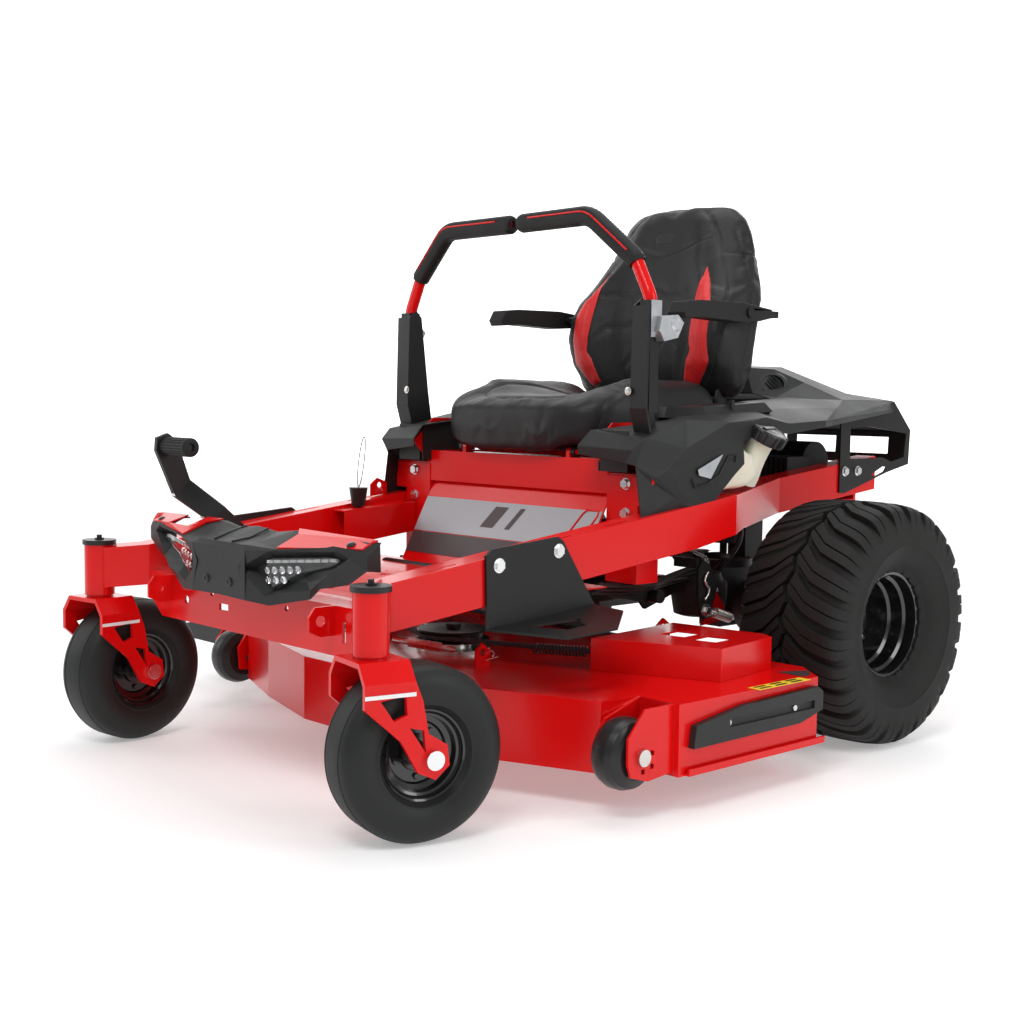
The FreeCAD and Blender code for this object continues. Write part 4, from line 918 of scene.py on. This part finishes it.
def fender_faces():
    """Corner points of the left side moulding and the faces between them, front to rear."""
    v = {
        "a": (245, 628, 597), "b": (250, 657, 626), "c": (381, 668, 615), "d": (373, 640, 592),
        "e": (245, 630, 580), "f": (352, 640, 568), "g": (370, 655, 562), "h": (386, 655, 467),
        "n1": (396, 719, 556), "n2": (397, 760, 506), "n3": (396, 781, 470), "n4": (390, 688, 541),
        "n5": (390, 748, 502), "n6": (388, 765, 468), "i": (399, 800, 474), "j": (400, 840, 486),
        "k": (400, 856, 499), "l": (400, 906, 540), "m": (400, 937, 562), "o": (400, 932, 607),
        "p": (400, 959, 646), "q": (402, 760, 594), "r": (402, 885, 643), "s": (352, 815, 648),
        "t": (264, 800, 640), "u": (340, 879, 659), "w": (264, 870, 662), "x1": (392, 1012, 653),
        "x2": (390, 1093, 640), "x3": (388, 1219, 646), "x4": (370, 1271, 646), "y1": (390, 1093, 619),
        "y2": (388, 1219, 632), "y3": (368, 1271, 634), "z1": (268, 1660, 668), "z2": (262, 1664, 689),
        "z3": (264, 1664, 662), "h1": (330, 1041, 668), "h2": (330, 1340, 672), "h3": (268, 1287, 692),
        "h4": (268, 1080, 678), "h5": (268, 930, 664), "h6": (268, 1450, 690), "y0": (394, 1012, 622),
    }
    f = ["a b c d", "a d f e", "d c g f", "b t s", "b s c", "c s q", "q s r", "c q n1 g", "g n1 n4",
         "g n4 n5 h", "n4 n1 n2 n5", "h n5 n6", "n5 n2 n3 n6", "n1 q r p o", "n1 o m l k j i n3 n2",
         "s t w u", "s u r", "u w h5", "u h5 h1", "r u h1 x1", "r x1 p", "p x1 y0 o", "x1 x2 y1 y0",
         "x2 x3 y2 y1", "x3 x4 y3 y2", "h1 x2 x1", "h1 h2 x3 x2", "h2 x4 x3", "h5 h4 h1", "h4 h3 h2 h1",
         "h3 h6 h2", "h2 h6 z2 z1 x4", "x4 z1 z3 y3"]
    return named_faces(v, f)


def hood_faces():
    """Cover over the engine: two halves about the centre line, stepped down to the rear edge."""
    v = {
        "a": (0, 1290, 760), "b": (110, 1300, 760), "c": (152, 1351, 757), "d": (152, 1274, 703),
        "e": (0, 1262, 705), "f": (200, 1400, 728), "g": (206, 1290, 694), "h": (268, 1287, 692),
        "i": (205, 1559, 705), "j": (0, 1580, 722), "k": (262, 1664, 689), "l": (0, 1664, 694),
        "m": (268, 1450, 690), "n": (0, 1400, 768), "o": (120, 1420, 764), "p": (268, 1100, 678),
        "q": (226, 1110, 682), "r": (222, 1250, 690), "s": (0, 1664, 672), "t": (262, 1664, 668),
    }
    f = ["e d b a", "d c b", "a b o n", "b c o", "c f o", "d g f c", "g h m f", "f m i", "f i o",
         "n o i j", "j i k l", "i m k", "q r h p", "r g h", "l k t s", "d r g"]
    return named_faces(v, f)


def build_plastics():
    verts, faces = fender_faces()
    for s, label in SIDES:
        facets(label + "_fender_skin", on_side(s, verts), faces, "plastic", "chassis",
               ["fenders", "control_pods"] if s > 0 else [], 3.2, 0.0035)
        badge = [(s * 402.3, y, z) for y, z in ((793, 554), (866, 582), (831, 536), (797, 543))]
        joined(label + "_fender_patch", [slab(badge, 0.8, (s, 0, 0))], "silver", "chassis", (), 30)
        groove = [(780, 537), (788, 521), (821, 526), (857, 542), (884, 577), (908, 580), (906, 566)]
        line = [(s * 401.6, y, z) for y, z in groove]
        tube(label + "_fender_rib", line, 1.8, "smooth_plastic", "chassis", smooth=False)
        wall = [(262, 668, 549), (262, 668, 628), (262, 800, 642), (262, 800, 549)]
        inner = [slab(on_side(s, wall), 3, (s, 0, 0))]
        wall = [(270, 668, 549), (340, 668, 549), (340, 668, 626), (270, 668, 626)]
        inner.append(slab(on_side(s, wall), 3, (0, -1, 0)))
        joined(label + "_pod_wall", inner, "plastic", "chassis", (), 30)
        lid = [(300, 812, 650), (352, 878, 650), (352, 1086, 664), (300, 1094, 664), (270, 1094, 664),
               (270, 812, 650)]
        top = [(298, 820, 671), (338, 882, 672), (338, 1076, 682), (296, 1084, 682), (274, 1084, 682),
               (274, 820, 671)]
        n = len(lid)
        ring = [(i, (i + 1) % n, n + (i + 1) % n, n + i) for i in range(n)]
        sunk = [(x * 0.94 + 18, (y - 950) * 0.9 + 950, z + 1.2) for x, y, z in top]
        tray_faces = ring + [(n + i, n + (i + 1) % n, 2 * n + (i + 1) % n, 2 * n + i) for i in range(n)]
        tray_faces.append(tuple(range(2 * n, 3 * n)))
        tray = on_side(s, lid + top + sunk)
        facets(label + "_console_lid", tray, tray_faces, "smooth_plastic", "chassis", [], 2.0, 0.003)
        latch = on_side(s, [(330, 960, 664), (346, 960, 664), (346, 960, 686), (330, 960, 684)])
        joined(label + "_lid_latch", [slab(latch, 9, (0, 1, 0))], "smooth_plastic", "chassis", (), 30)
    verts, faces = hood_faces()
    facets("engine_cover", verts, faces, "plastic", "chassis", ["engine_hood"], 3.0, 0.004, True)
    ring = [(0, 34), (3, 34), (5, 31), (5, 24), (-3, 22), (-3, 0.5), (-4, 0.5), (-4, 34)]
    for s in (1, -1):
        lathe("cover_vent", ring, (s * 166, 1330, 722), (s * 0.62, -0.5, 0.62), "smooth_plastic", "chassis",
              [], 48)
        slats = []
        for k in (-14, -5, 4, 13):
            centre = Vector((s * 168, 1329, 724)) + Vector((0, 0.78, 0.62)) * k
            slats += [turned([(-17, 1.6), (17, 1.6)], centre, (0.7, 0.2 * s, -0.6 * s), 8)]
        joined("vent_slats", slats, "plastic", "chassis", (), 40)


# ---------------------------------------------------------------- front moulding, lamps and plates


def lamp_plane(x):
    """How far behind the front line the slanted lamp face stands, x from the middle."""
    return (x - 85) * 60 / 255


def open_slot(obj, x0, x1, y0, z0):
    """Opens a faceted skin between x0 and x1, behind y0 and above z0, in millimetres."""
    bm = bmesh.new()
    bm.from_mesh(obj.data)
    for place, way in ((W(x0, 0, 0), (1, 0, 0)), (W(x1, 0, 0), (1, 0, 0)), (W(0, y0, 0), (0, 1, 0))):
        geometry = bm.verts[:] + bm.edges[:] + bm.faces[:]
        bmesh.ops.bisect_plane(bm, geom=geometry, plane_co=place, plane_no=way)
    low, high = W(x0, y0, z0), W(x1, y0, z0)
    inside = []
    for face in bm.faces:
        c = face.calc_center_median()
        if low.x < c.x < high.x and c.y > low.y and c.z > low.z:
            inside.append(face)
    bmesh.ops.delete(bm, geom=inside, context="FACES")
    bm.to_mesh(obj.data)
    bm.free()


def build_front():
    v = {
        "a": (0, 0, 341), "b": (85, 0, 339), "c": (85, 0, 424), "d": (0, 0, 426), "e": (0, 8, 432),
        "f": (70, 8, 432), "g": (140, 13, 335), "h": (69, -1, 393), "i": (128, 10, 350),
        "j": (228, 33, 368), "k": (276, 45, 405), "l": (307, 52, 426), "m": (276, 45, 442),
        "n": (141, 13, 427), "o": (220, 40, 352), "p": (240, 45, 371), "q": (299, 58, 382),
        "r": (344, 61, 408), "s": (344, 61, 430), "t": (340, 90, 450), "u": (340, 92, 404),
        "w": (340, 75, 452), "x": (116, 82, 455), "y": (150, 18, 430), "z": (0, 82, 455),
        "A": (80, 30, 436), "B": (0, 30, 436), "C": (60, 82, 449), "D": (116, 92, 455), "E": (340, 92, 452),
        "F": (0, 92, 452), "G": (60, 92, 446), "H": (335, 60, 440),
    }
    f = ["a b c d", "d c f e", "b g i h", "b h c", "g o j i", "o p j", "p q k j", "q r l k", "r s H l",
         "c h n", "n m y", "m H y", "m l H", "c n y f", "f y A", "e f A B", "A y x", "B A C z", "A x C",
         "y H w x", "H s t w", "s r u t", "z C G F", "C x D G", "x w E D"]
    lamp = ["h i", "i j", "j k", "k l", "l m", "m n", "n h"]
    inner = {"h": (87, 392), "i": (131, 360), "j": (192, 391), "k": (255, 407), "l": (278, 420),
             "m": (255, 423), "n": (133, 414)}
    for key, (x, z) in inner.items():
        v[key + "_in"] = (x, lamp_plane(x) + 22, z)
    f += [" ".join((*pair.split(), pair.split()[1] + "_in", pair.split()[0] + "_in")) for pair in lamp]
    f.append("n_in m_in l_in k_in j_in i_in h_in")
    verts, faces = named_faces(v, f)
    moulding = facets("front_moulding", verts, faces, "plastic", "chassis", ["headlight_panel"], 2.6,
                      0.0025, True)
    open_slot(moulding, -250, -172, 40, 400)
    for s, label in SIDES:
        glass = [(s * x, lamp_plane(x) + 11, z) for x, z in
                 ((118, 396), (133, 364), (167, 379), (193, 393), (255, 408), (279, 420), (255, 423),
                  (133, 413))]
        joined(label + "_lamp_glass", [slab(glass, 2, (0, 1, 0))], "lens", "chassis",
               ["headlight_lenses"] if s > 0 else [], 30)
        bar = []
        for k in range(9):
            x = 120 + k * 17
            y = lamp_plane(x) + 17
            z = 404 + (x - 120) * 0.085
            bar.append(slab([(s * x, y, z), (s * (x + 13), y + 3, z + 1), (s * (x + 13), y + 3, z + 6),
                             (s * x, y, z + 5)], 4, (0, -1, 0)))
        joined(label + "_light_bar", bar, "white", "chassis", (), 30)
        cups = []
        for k in range(5):
            x = 116 + k * 17
            z = 391 + k * 1.6
            for row in (0, 1):
                if row and k > 2:
                    continue
                spot = (s * (x + 4 * row), lamp_plane(x) + 20, z - 16 * row)
                cups.append(turned([(0, 6.5), (4, 6.5), (4.5, 5.4), (1.5, 3.2), (1.5, 0.4)], spot,
                                   (s * 0.25, -0.97, 0), 20))
        joined(label + "_lamp_cups", cups, "chrome", "chassis", (), 40)
        chips = [turned([(1.5, 2.6), (3.2, 2.4)], (s * (116 + k * 17), lamp_plane(116 + k * 17) + 19,
                                                   391 + k * 1.6), (s * 0.25, -0.97, 0), 12)
                 for k in range(5)]
        joined(label + "_lamp_leds", chips, "white", "chassis", (), 40)
        plate = [(s * 152, 20, 430.5), (s * 333, 61, 441), (s * 341, 75, 453), (s * 338, 88, 453.5),
                 (s * 122, 86, 456.5), (s * 148, 66, 450)]
        if s < 0:
            plate = [(-152, 20, 430.5), (-333, 61, 441), (-341, 75, 453), (-338, 88, 453.5),
                     (-246, 87, 455), (-246, 44.5, 443), (-176, 44, 441.5), (-176, 87, 456),
                     (-122, 86, 456.5), (-148, 66, 450)]
        joined(label + "_red_plate", [slab(plate, 3, (0, -0.35, 0.93))], "red", "chassis",
               ["panel_top_plates"] if s > 0 else [], 30)
        screw = turned([(0, 8), (2.5, 7.6), (4.5, 5.5), (5, 0.5)], (s * 301, 62, 446), (0, -0.35, 0.93), 24)
        joined(label + "_plate_screw", [screw], "smooth_plastic", "chassis", (), 40)
        ridge = [(s * 28, 10, 434), (s * 40, 40, 440), (s * 34, 80, 453)]
        tube(label + "_panel_ridge", ridge, 1.6, "plastic", "chassis", smooth=False)
        rivet = turned([(0, 8.5), (1.5, 8.5), (3.5, 6.5), (3.6, 4), (2.2, 3.4), (2.2, 0.4)],
                       (s * 37, 0.5, 365), (0, -1, 0), 28)
        joined(label + "_push_rivet", [rivet], "smooth_plastic", "chassis", (), 40)


# ---------------------------------------------------------------- lap bar grips


def build_grips():
    for s, label in SIDES:
        corners = [(s * 354, 706, 805), (s * 354, 706, 872), (s * 317, 705, 945), (s * 210, 690, 1034),
                   (s * 14, 694, 1034)]
        path = [p for p in rounded_path(corners, 58, 2.5) if p.z > 938]
        total = sum((b - a).length for a, b in zip(path, path[1:]))

        def radius_at(run, turn, total=total):
            if run < 4 or run > total - 4:
                return 17.0
            facing = math.cos(turn)
            ribbed = 0.9 if math.sin(run * 2 * math.pi / 7.5) > 0.2 and facing < 0.1 else 0.0
            return 19.0 - ribbed - (1.4 if facing > 0.82 else 0)

        verts, faces = swept(path, radius_at, 36)
        body = label + "_lap_bar"
        joined(label + "_grip", [(verts, faces)], "rubber", body, [label + "_lap_bar_grip"], 40)
        stripe = []
        up = Vector((0, -1, 0))
        run = 0.0
        for i in range(1, len(path) - 1):
            run += (path[i] - path[i - 1]).length
            if 26 < run < total - 34:
                ahead = (path[i + 1] - path[i - 1]).normalized()
                u = (up - ahead * up.dot(ahead)).normalized()
                side = ahead.cross(u)
                angle = 0.42 * (1 if s > 0 else -1)
                out = u * math.cos(angle) + side * math.sin(angle)
                stripe.append(tuple(path[i] + out * 17.9))
        tube(label + "_grip_line", stripe[::2], 1.7, "red", body)
        end = turned([(0, 17), (2, 15), (2.5, 8), (-3, 7.4), (-3, 0.4)], path[-1], path[-1] - path[-2], 28)
        joined(label + "_grip_end", [end], "rubber", body, (), 40)


# ---------------------------------------------------------------- smaller pieces


def spring(name, a, b, radius, wire, turns, finish, body):
    """Coil spring between two points in millimetres, with straight hooks at both ends."""
    a, b = Vector(a), Vector(b)
    ahead = (b - a).normalized()
    _, u, v = frame_of(ahead)
    start, end = a + ahead * 14, b - ahead * 14
    pts = [tuple(a)]
    for k in range(turns * 12 + 1):
        t = 2 * math.pi * k / 12
        spot = start.lerp(end, k / (turns * 12)) + (u * math.cos(t) + v * math.sin(t)) * radius
        pts.append(tuple(spot))
    pts.append(tuple(b))
    return tube(name, pts, wire, finish, body)


def build_tank():
    neck = Vector((366, 992, 560))
    axis = Vector((0.499, 0.1198, 0.8583))
    side = [(842, 506), (858, 500), (880, 505), (905, 511), (940, 510), (972, 514), (998, 530), (1016, 546),
            (1030, 560), (1020, 578), (995, 584), (962, 584), (948, 600), (930, 618), (900, 632), (842, 632)]
    loops = [[(x, 930 + (y - 930) * k, 560 + (z - 560) * k) for y, z in side]
             for x, k in ((276, 0.86), (282, 0.95), (296, 1.0), (360, 1.0), (378, 0.96), (388, 0.86),
                          (391, 0.7))]
    tank = loft("cream_tank", loops, "tank", "chassis", ["fuel_tank"])
    rounder = tank.modifiers.new("round", "SUBSURF")
    rounder.levels = 2
    rounder.render_levels = 2
    tank.data.polygons.foreach_set("use_smooth", [True] * len(tank.data.polygons))
    profile = [(-34, 34), (-20, 33), (0, 29), (20, 26), (40, 25), (50, 25), (52, 27), (56, 27), (56, 20),
               (-34, 20)]
    lathe("tank_neck", profile, neck, axis, "tank", "chassis", [], 48, 40)
    mouth = neck + axis * 56.6
    cap = [(0, 37), (1, 40), (4, 41), (23, 41), (26, 39), (27, 35), (25.6, 33), (25.6, 20), (26.4, 18),
           (26.4, 0.5), (3, 0.5), (0, 4)]
    lathe("round_fuel_cap", cap, mouth, axis, "smooth_plastic", "fuel_cap", ["fuel_cap"], 72, 30)
    ribs = []
    _, u, v = frame_of(axis)
    for k in range(12):
        t = 2 * math.pi * k / 12
        foot = mouth + axis * 3 + (u * math.cos(t) + v * math.sin(t)) * 41
        ribs.append(turned([(0, 3.4), (20, 3.4), (22, 2)], foot, axis, 12))
    bar = mouth + axis * 25.5
    corners = [bar + u * 24 + v * 4, bar - u * 24 + v * 4, bar - u * 24 - v * 4, bar + u * 24 - v * 4]
    ribs.append(slab([tuple(c) for c in corners], 3.0, axis))
    joined("fuel_cap_ribs", ribs, "smooth_plastic", "fuel_cap", (), 40)


def build_pedal():
    ribs = []
    for k in range(20):
        t = 2 * math.pi * k / 20
        spot = (-232, 36 + 15.8 * math.cos(t), 588 + 15.8 * math.sin(t))
        ribs.append(turned([(0, 1.7), (79, 1.7)], spot, (1, 0, 0), 8))
    core = [(-234, 8.05), (-234, 15), (-233, 16.5), (-231, 17), (-229, 15.4), (-156, 15.4), (-154, 17.4),
            (-151, 17.4), (-150, 15), (-150, 8.05)]
    lathe("ribbed_peg", core, (0, 36, 588), (1, 0, 0), "rubber", "pedal", ["pedal_peg"], 64, 35)
    joined("peg_ribs", ribs, "rubber", "pedal", (), 40)
    # The two thin white strips on the pedal arm are painted highlights, where light catches its bends.
    upper = [(-246, 52, 494.5), (-234, 52, 494.5), (-234, 49.6, 499.5), (-246, 49.6, 499.5)]
    lower = [(-216, 97, 452.5), (-204, 97, 452.5), (-204, 93, 456.5), (-216, 93, 456.5)]
    joined("pedal_painted_highlights", [slab(upper, 0.6, (0, -0.9, -0.3)), slab(lower, 0.6, (0, -0.7, -0.7))], "white",
           "pedal", (), 30)


def build_pin():
    ring = []
    for k in range(25):
        t = math.pi * 2 * k / 24
        lean = 10 * (1 - math.cos(t))
        ring.append((-330 + 15 * math.sin(t) + lean, 546 - 4 * math.sin(t), 545 - 54 * math.cos(t)))
    tube("pin_wire_loop", ring, 1.1, "cable", "height_pin")


def build_riser():
    low = Vector((0, 612.5, 338))
    up = Vector((0, 89.5, 166.5)).normalized()

    def at(x, run, lift=0.7):
        spot = low + up * run
        return (x, spot.y - 0.88 * lift, spot.z + 0.47 * lift)

    grey = [at(-262, 70), at(-262, 150), at(-60, 150), at(262, 150), at(262, 86), at(160, 70)]
    joined("riser_band", [slab(grey, 0.4, (0, -0.88, 0.47))], "grey", "chassis", (), 30)
    dark = [at(-262, 20, 0.9), at(-262, 68, 0.9), at(150, 68, 0.9), at(262, 84, 0.9), at(262, 20, 0.9)]
    joined("riser_dark_band", [slab(dark, 0.4, (0, -0.88, 0.47))], "dark_grey", "chassis", (), 30)
    wide = [at(-60, 92, 1.3), at(-34, 140, 1.3), at(4, 140, 1.3), at(-22, 92, 1.3)]
    narrow = [at(14, 92, 1.3), at(40, 140, 1.3), at(54, 140, 1.3), at(28, 92, 1.3)]
    joined("riser_marks", [slab(m, 0.4, (0, -0.88, 0.47)) for m in (wide, narrow)], "dark_grey", "chassis",
           (), 30)
    slot = [at(188, 64, 1.2), at(184, 74, 1.2), at(214, 142, 1.2), at(222, 150, 1.2), at(252, 150, 1.2),
            at(254, 140, 1.2), at(228, 70, 1.2), at(220, 64, 1.2)]
    tube("slot_rim", slot + slot[:2], 2.2, "red", "chassis", smooth=False)


def build_deck_details():
    up = (0, 0, 1)
    strip = [(620, 681, 186.3), (620, 829, 186.3), (646, 829, 186.3), (646, 681, 186.3)]
    joined("deck_strip", [slab(strip, 0.5, up)], "yellow", "deck", (), 30)
    marks = [slab([(x, y, 187), (x + 6, y, 187), (x + 6, y + 30, 187), (x, y + 30, 187)], 0.3, up)
             for y in (690, 735, 780) for x in (624, 636)]
    joined("deck_strip_marks", marks, "smooth_plastic", "deck", (), 30)
    patch = [(560, 842, 186.3), (590, 900, 186.3), (618, 868, 186.3), (618, 842, 186.3)]
    joined("deck_label", [slab(patch, 0.5, up)], "dark_grey", "deck", (), 30)
    for s, label in SIDES:
        a, b = (s * 200, 549, 215), (s * 316, 611, 215)
        spring(label + "_idler_spring", a, b, 9, 1.6, 16, "smooth_plastic", "deck")
        ring = [(s * (176 + 10 * math.cos(t)), 472 + 10 * math.sin(t), 204 + 8 * math.sin(t))
                for t in np.linspace(0, 5.6, 14)]
        tube(label + "_hairpin", ring + [(s * 204, 470, 206)], 1.5, "chrome", "deck")
        rod = [turned([(0, 5.5), (118, 5.5)], (s * 82, 317, 240), (s * 0.66, 0.72, -0.16), 16),
               turned([(30, 9.5), (92, 9.5)], (s * 82, 317, 240), (s * 0.66, 0.72, -0.16), 6)]
        joined(label + "_turnbuckle", rod, "zinc", "deck", (), 35)
    for y in (600, 785):
        joined("bumper_bolt", hex_head((641, y, 141), (1, 0, 0), 6.5, 5), "zinc", "deck", (), 35)
    joined("deck_knob", [turned([(0, 12), (16, 12), (18, 9), (18, 0.5)], (507, 822, 186), (0, 0, 1), 24)],
           "smooth_plastic", "deck", (), 40)


def build_fork_marks():
    for s, label in SIDES:
        turn = FORK_TURN[s]
        spots = []
        for x, y, z in ((66.3, -40, 240), (66.3, 44, 240), (66.3, 44, 246), (66.3, -40, 246)):
            spots.append((s * CASTER_X + x * math.cos(turn) - y * math.sin(turn),
                          x * math.sin(turn) + y * math.cos(turn), z))
        joined(label + "_fork_mark", [slab(spots, 0.5, (math.cos(turn), math.sin(turn), 0))], "white",
               label + "_caster", (), 30)


def build_levers():
    for s, label in SIDES:
        holes = []
        for z in (812, 828, 844):
            holes.append(turned([(0, 5.5), (1.2, 5.5), (1.6, 4.0), (1.6, 0.4)], (s * 354, 690.6, z),
                                (0, -1, 0), 20))
        joined(label + "_clamp_bolts", holes, "zinc", label + "_lap_bar", (), 40)
        strip = []
        for k in range(6):
            z = 806 + k * 9
            rung = on_side(s, [(340, 690, z), (349, 690, z), (349, 690, z + 5), (340, 690, z + 5)])
            strip.append(slab(rung, 1.2, (0, -1, 0)))
        joined(label + "_clamp_strip", strip, "chrome", label + "_lap_bar", (), 40)
        plate = [(s * 369.5, y, z) for y, z in ((700, 838), (744, 842), (760, 828), (744, 800), (708, 792),
                                                (696, 812))]
        boss = turned([(0, 13), (6, 13), (9, 9), (9, 0.4)], (s * 383, 738, 824), (s, 0, 0), 24)
        joined(label + "_knob", [slab(plate, 14, (s, 0, 0)), boss], "silver", label + "_lap_bar", (), 35)
        joined(label + "_bracket_bolts", hex_head((s * 329, 676, 700), (0, -1, 0), 5.5, 4), "zinc",
               label + "_lever", (), 35)


def build_drive_details():
    for s, label in SIDES:
        plate = [(s * 322, y, z) for y, z in ((892, 352), (904, 368), (926, 360), (952, 312), (930, 252),
                                              (904, 250), (892, 300))]
        foot = [(s * x, 892, z) for x, z in ((322, 352), (322, 372), (262, 372), (262, 352))]
        joined(label + "_link_plate", [slab(plate, 5, (s, 0, 0)), slab(foot, 5, (0, 1, 0))], "black_paint",
               "chassis", (), 30)
        clip = [(330, 918, 344), (332, 904, 334), (332, 910, 318), (332, 922, 312), (332, 916, 296),
                (332, 906, 290)]
        tube(label + "_link_clip", on_side(s, clip), 2.6, "zinc", "chassis")
        bolt = hex_head((s * 328, 916, 266), (s, 0, 0), 10, 9)
        joined(label + "_link_bolt", bolt, "zinc", "chassis", (), 35)
        arm = [(s * 300, y, z) for y, z in ((950, 330), (1004, 264), (990, 236), (930, 232), (962, 262))]
        joined(label + "_red_arm", [slab(arm, 5, (s, 0, 0))], "red", "chassis", (), 30)
        a, b = (s * 334, 925, 266), (s * 322, 1010, 240)
        spring(label + "_arm_spring", a, b, 9, 1.8, 12, "zinc", "chassis")
        rod = on_side(s, [(310, 880, 390), (312, 930, 372), (312, 968, 300)])
        tube(label + "_brake_rod", rod, 3.4, "zinc", "chassis", smooth=False)
        fan = []
        for k in range(9):
            t = 2 * math.pi * k / 9
            out = Vector((math.cos(t), math.sin(t), 0))
            side = Vector((-math.sin(t), math.cos(t), 0))
            c = Vector((s * 236, 1004, 368))
            fan.append(slab([tuple(c + out * 16 - side * 3), tuple(c + out * 62 - side * 12),
                             tuple(c + out * 62 + side * 12 - Vector((0, 0, 10))),
                             tuple(c + out * 16 + side * 3 - Vector((0, 0, 8)))], 2.2, (0, 0, 1)))
        fan.append(turned([(-16, 18), (8, 18), (8, 6)], (s * 236, 1004, 368), (0, 0, 1), 32))
        joined(label + "_cooling_fan", fan, "smooth_plastic", "chassis", (), 35)
        profile = [(-80, 40), (-76, 52), (-40, 58), (-10, 58), (-6, 50), (10, 44), (12, 20)]
        case = [turned(profile, (s * 236, 1004, 320), (0, 0, 1), 28),
                turned([(0, 58), (52, 58), (60, 40), (74, 34), (74, 10)], (s * 226, AXLE_Y, AXLE_Z),
                       (s, 0, 0), 36)]
        joined(label + "_pump_case", case, "cast", "chassis", (), 35)
        for k in range(6):
            t = 2 * math.pi * k / 6
            spot = (s * 280, AXLE_Y + 50 * math.cos(t), AXLE_Z + 50 * math.sin(t))
            joined(label + "_case_bolt", hex_head(spot, (s, 0, 0), 6, 5, False), "zinc", "chassis", (), 35)
        hose = on_side(s, [(236, 1060, 330), (280, 1080, 380), (250, 1120, 430), (180, 1130, 440)])
        tube(label + "_hose", hose, 6.5, "smooth_plastic", "chassis")
        plate = [(0, 20), (3, 20), (3, 62), (0, 62)]
        lathe(label + "_spindle_flange", plate, (s * 400, 705, 187), (0, 0, 1), "smooth_plastic", "deck",
              [], 48)
        ribs = [slab([(s * 400 + 44 * math.cos(t), 705 + 44 * math.sin(t), 190),
                      (s * 400 + 52 * math.cos(t + 0.12), 705 + 52 * math.sin(t + 0.12), 190),
                      (s * 400 + 52 * math.cos(t - 0.12), 705 + 52 * math.sin(t - 0.12), 190)], 6, (0, 0, 1))
                for t in np.linspace(0, 2 * math.pi, 6, endpoint=False)]
        joined(label + "_flange_bolts", ribs, "zinc", "deck", (), 35)


def build_belly():
    shaft = [turned([(-300, 13), (300, 13)], (0, 812, 300), (1, 0, 0), 24),
             turned([(-250, 16), (250, 16)], (0, 560, 330), (1, 0, 0), 24)]
    for s in (1, -1):
        for x, arm in ((268, ((800, 312), (690, 330), (690, 308), (800, 286))),
                       (236, ((800, 300), (940, 326), (940, 300), (830, 268)))):
            shaft.append(slab([(s * x, y, z) for y, z in arm], 8, (s, 0, 0)))
    joined("lift_shafts", shaft, "black_paint", "chassis", (), 35)
    for s, label in SIDES:
        for k in range(3):
            path = [(s * (300 - 10 * k), 640, 336 - 9 * k), (s * (306 - 10 * k), 760, 322 - 7 * k),
                    (s * (296 - 14 * k), 860, 344 - 12 * k), (s * (270 - 10 * k), 980, 350 - 14 * k)]
            tube(label + "_harness", path, 5.5 - k, "smooth_plastic", "chassis")
    case = [slab([(-190, 720, 282), (190, 720, 282), (190, 960, 282), (-190, 960, 282)], 40, (0, 0, 1)),
            slab([(-150, 730, 322), (150, 730, 322), (150, 930, 322), (-150, 930, 322)], 40, (0, 0, 1))]
    tray = joined("battery_tray", case, "smooth_plastic", "chassis", (), 30)
    soften(tray, 0.006, 2, 30)


build_wheels()
build_seat()
build_plastics()
build_front()
build_grips()
build_drive_details()
build_belly()
build_tank()
build_pedal()
build_pin()
build_riser()
build_deck_details()
build_fork_marks()
build_levers()
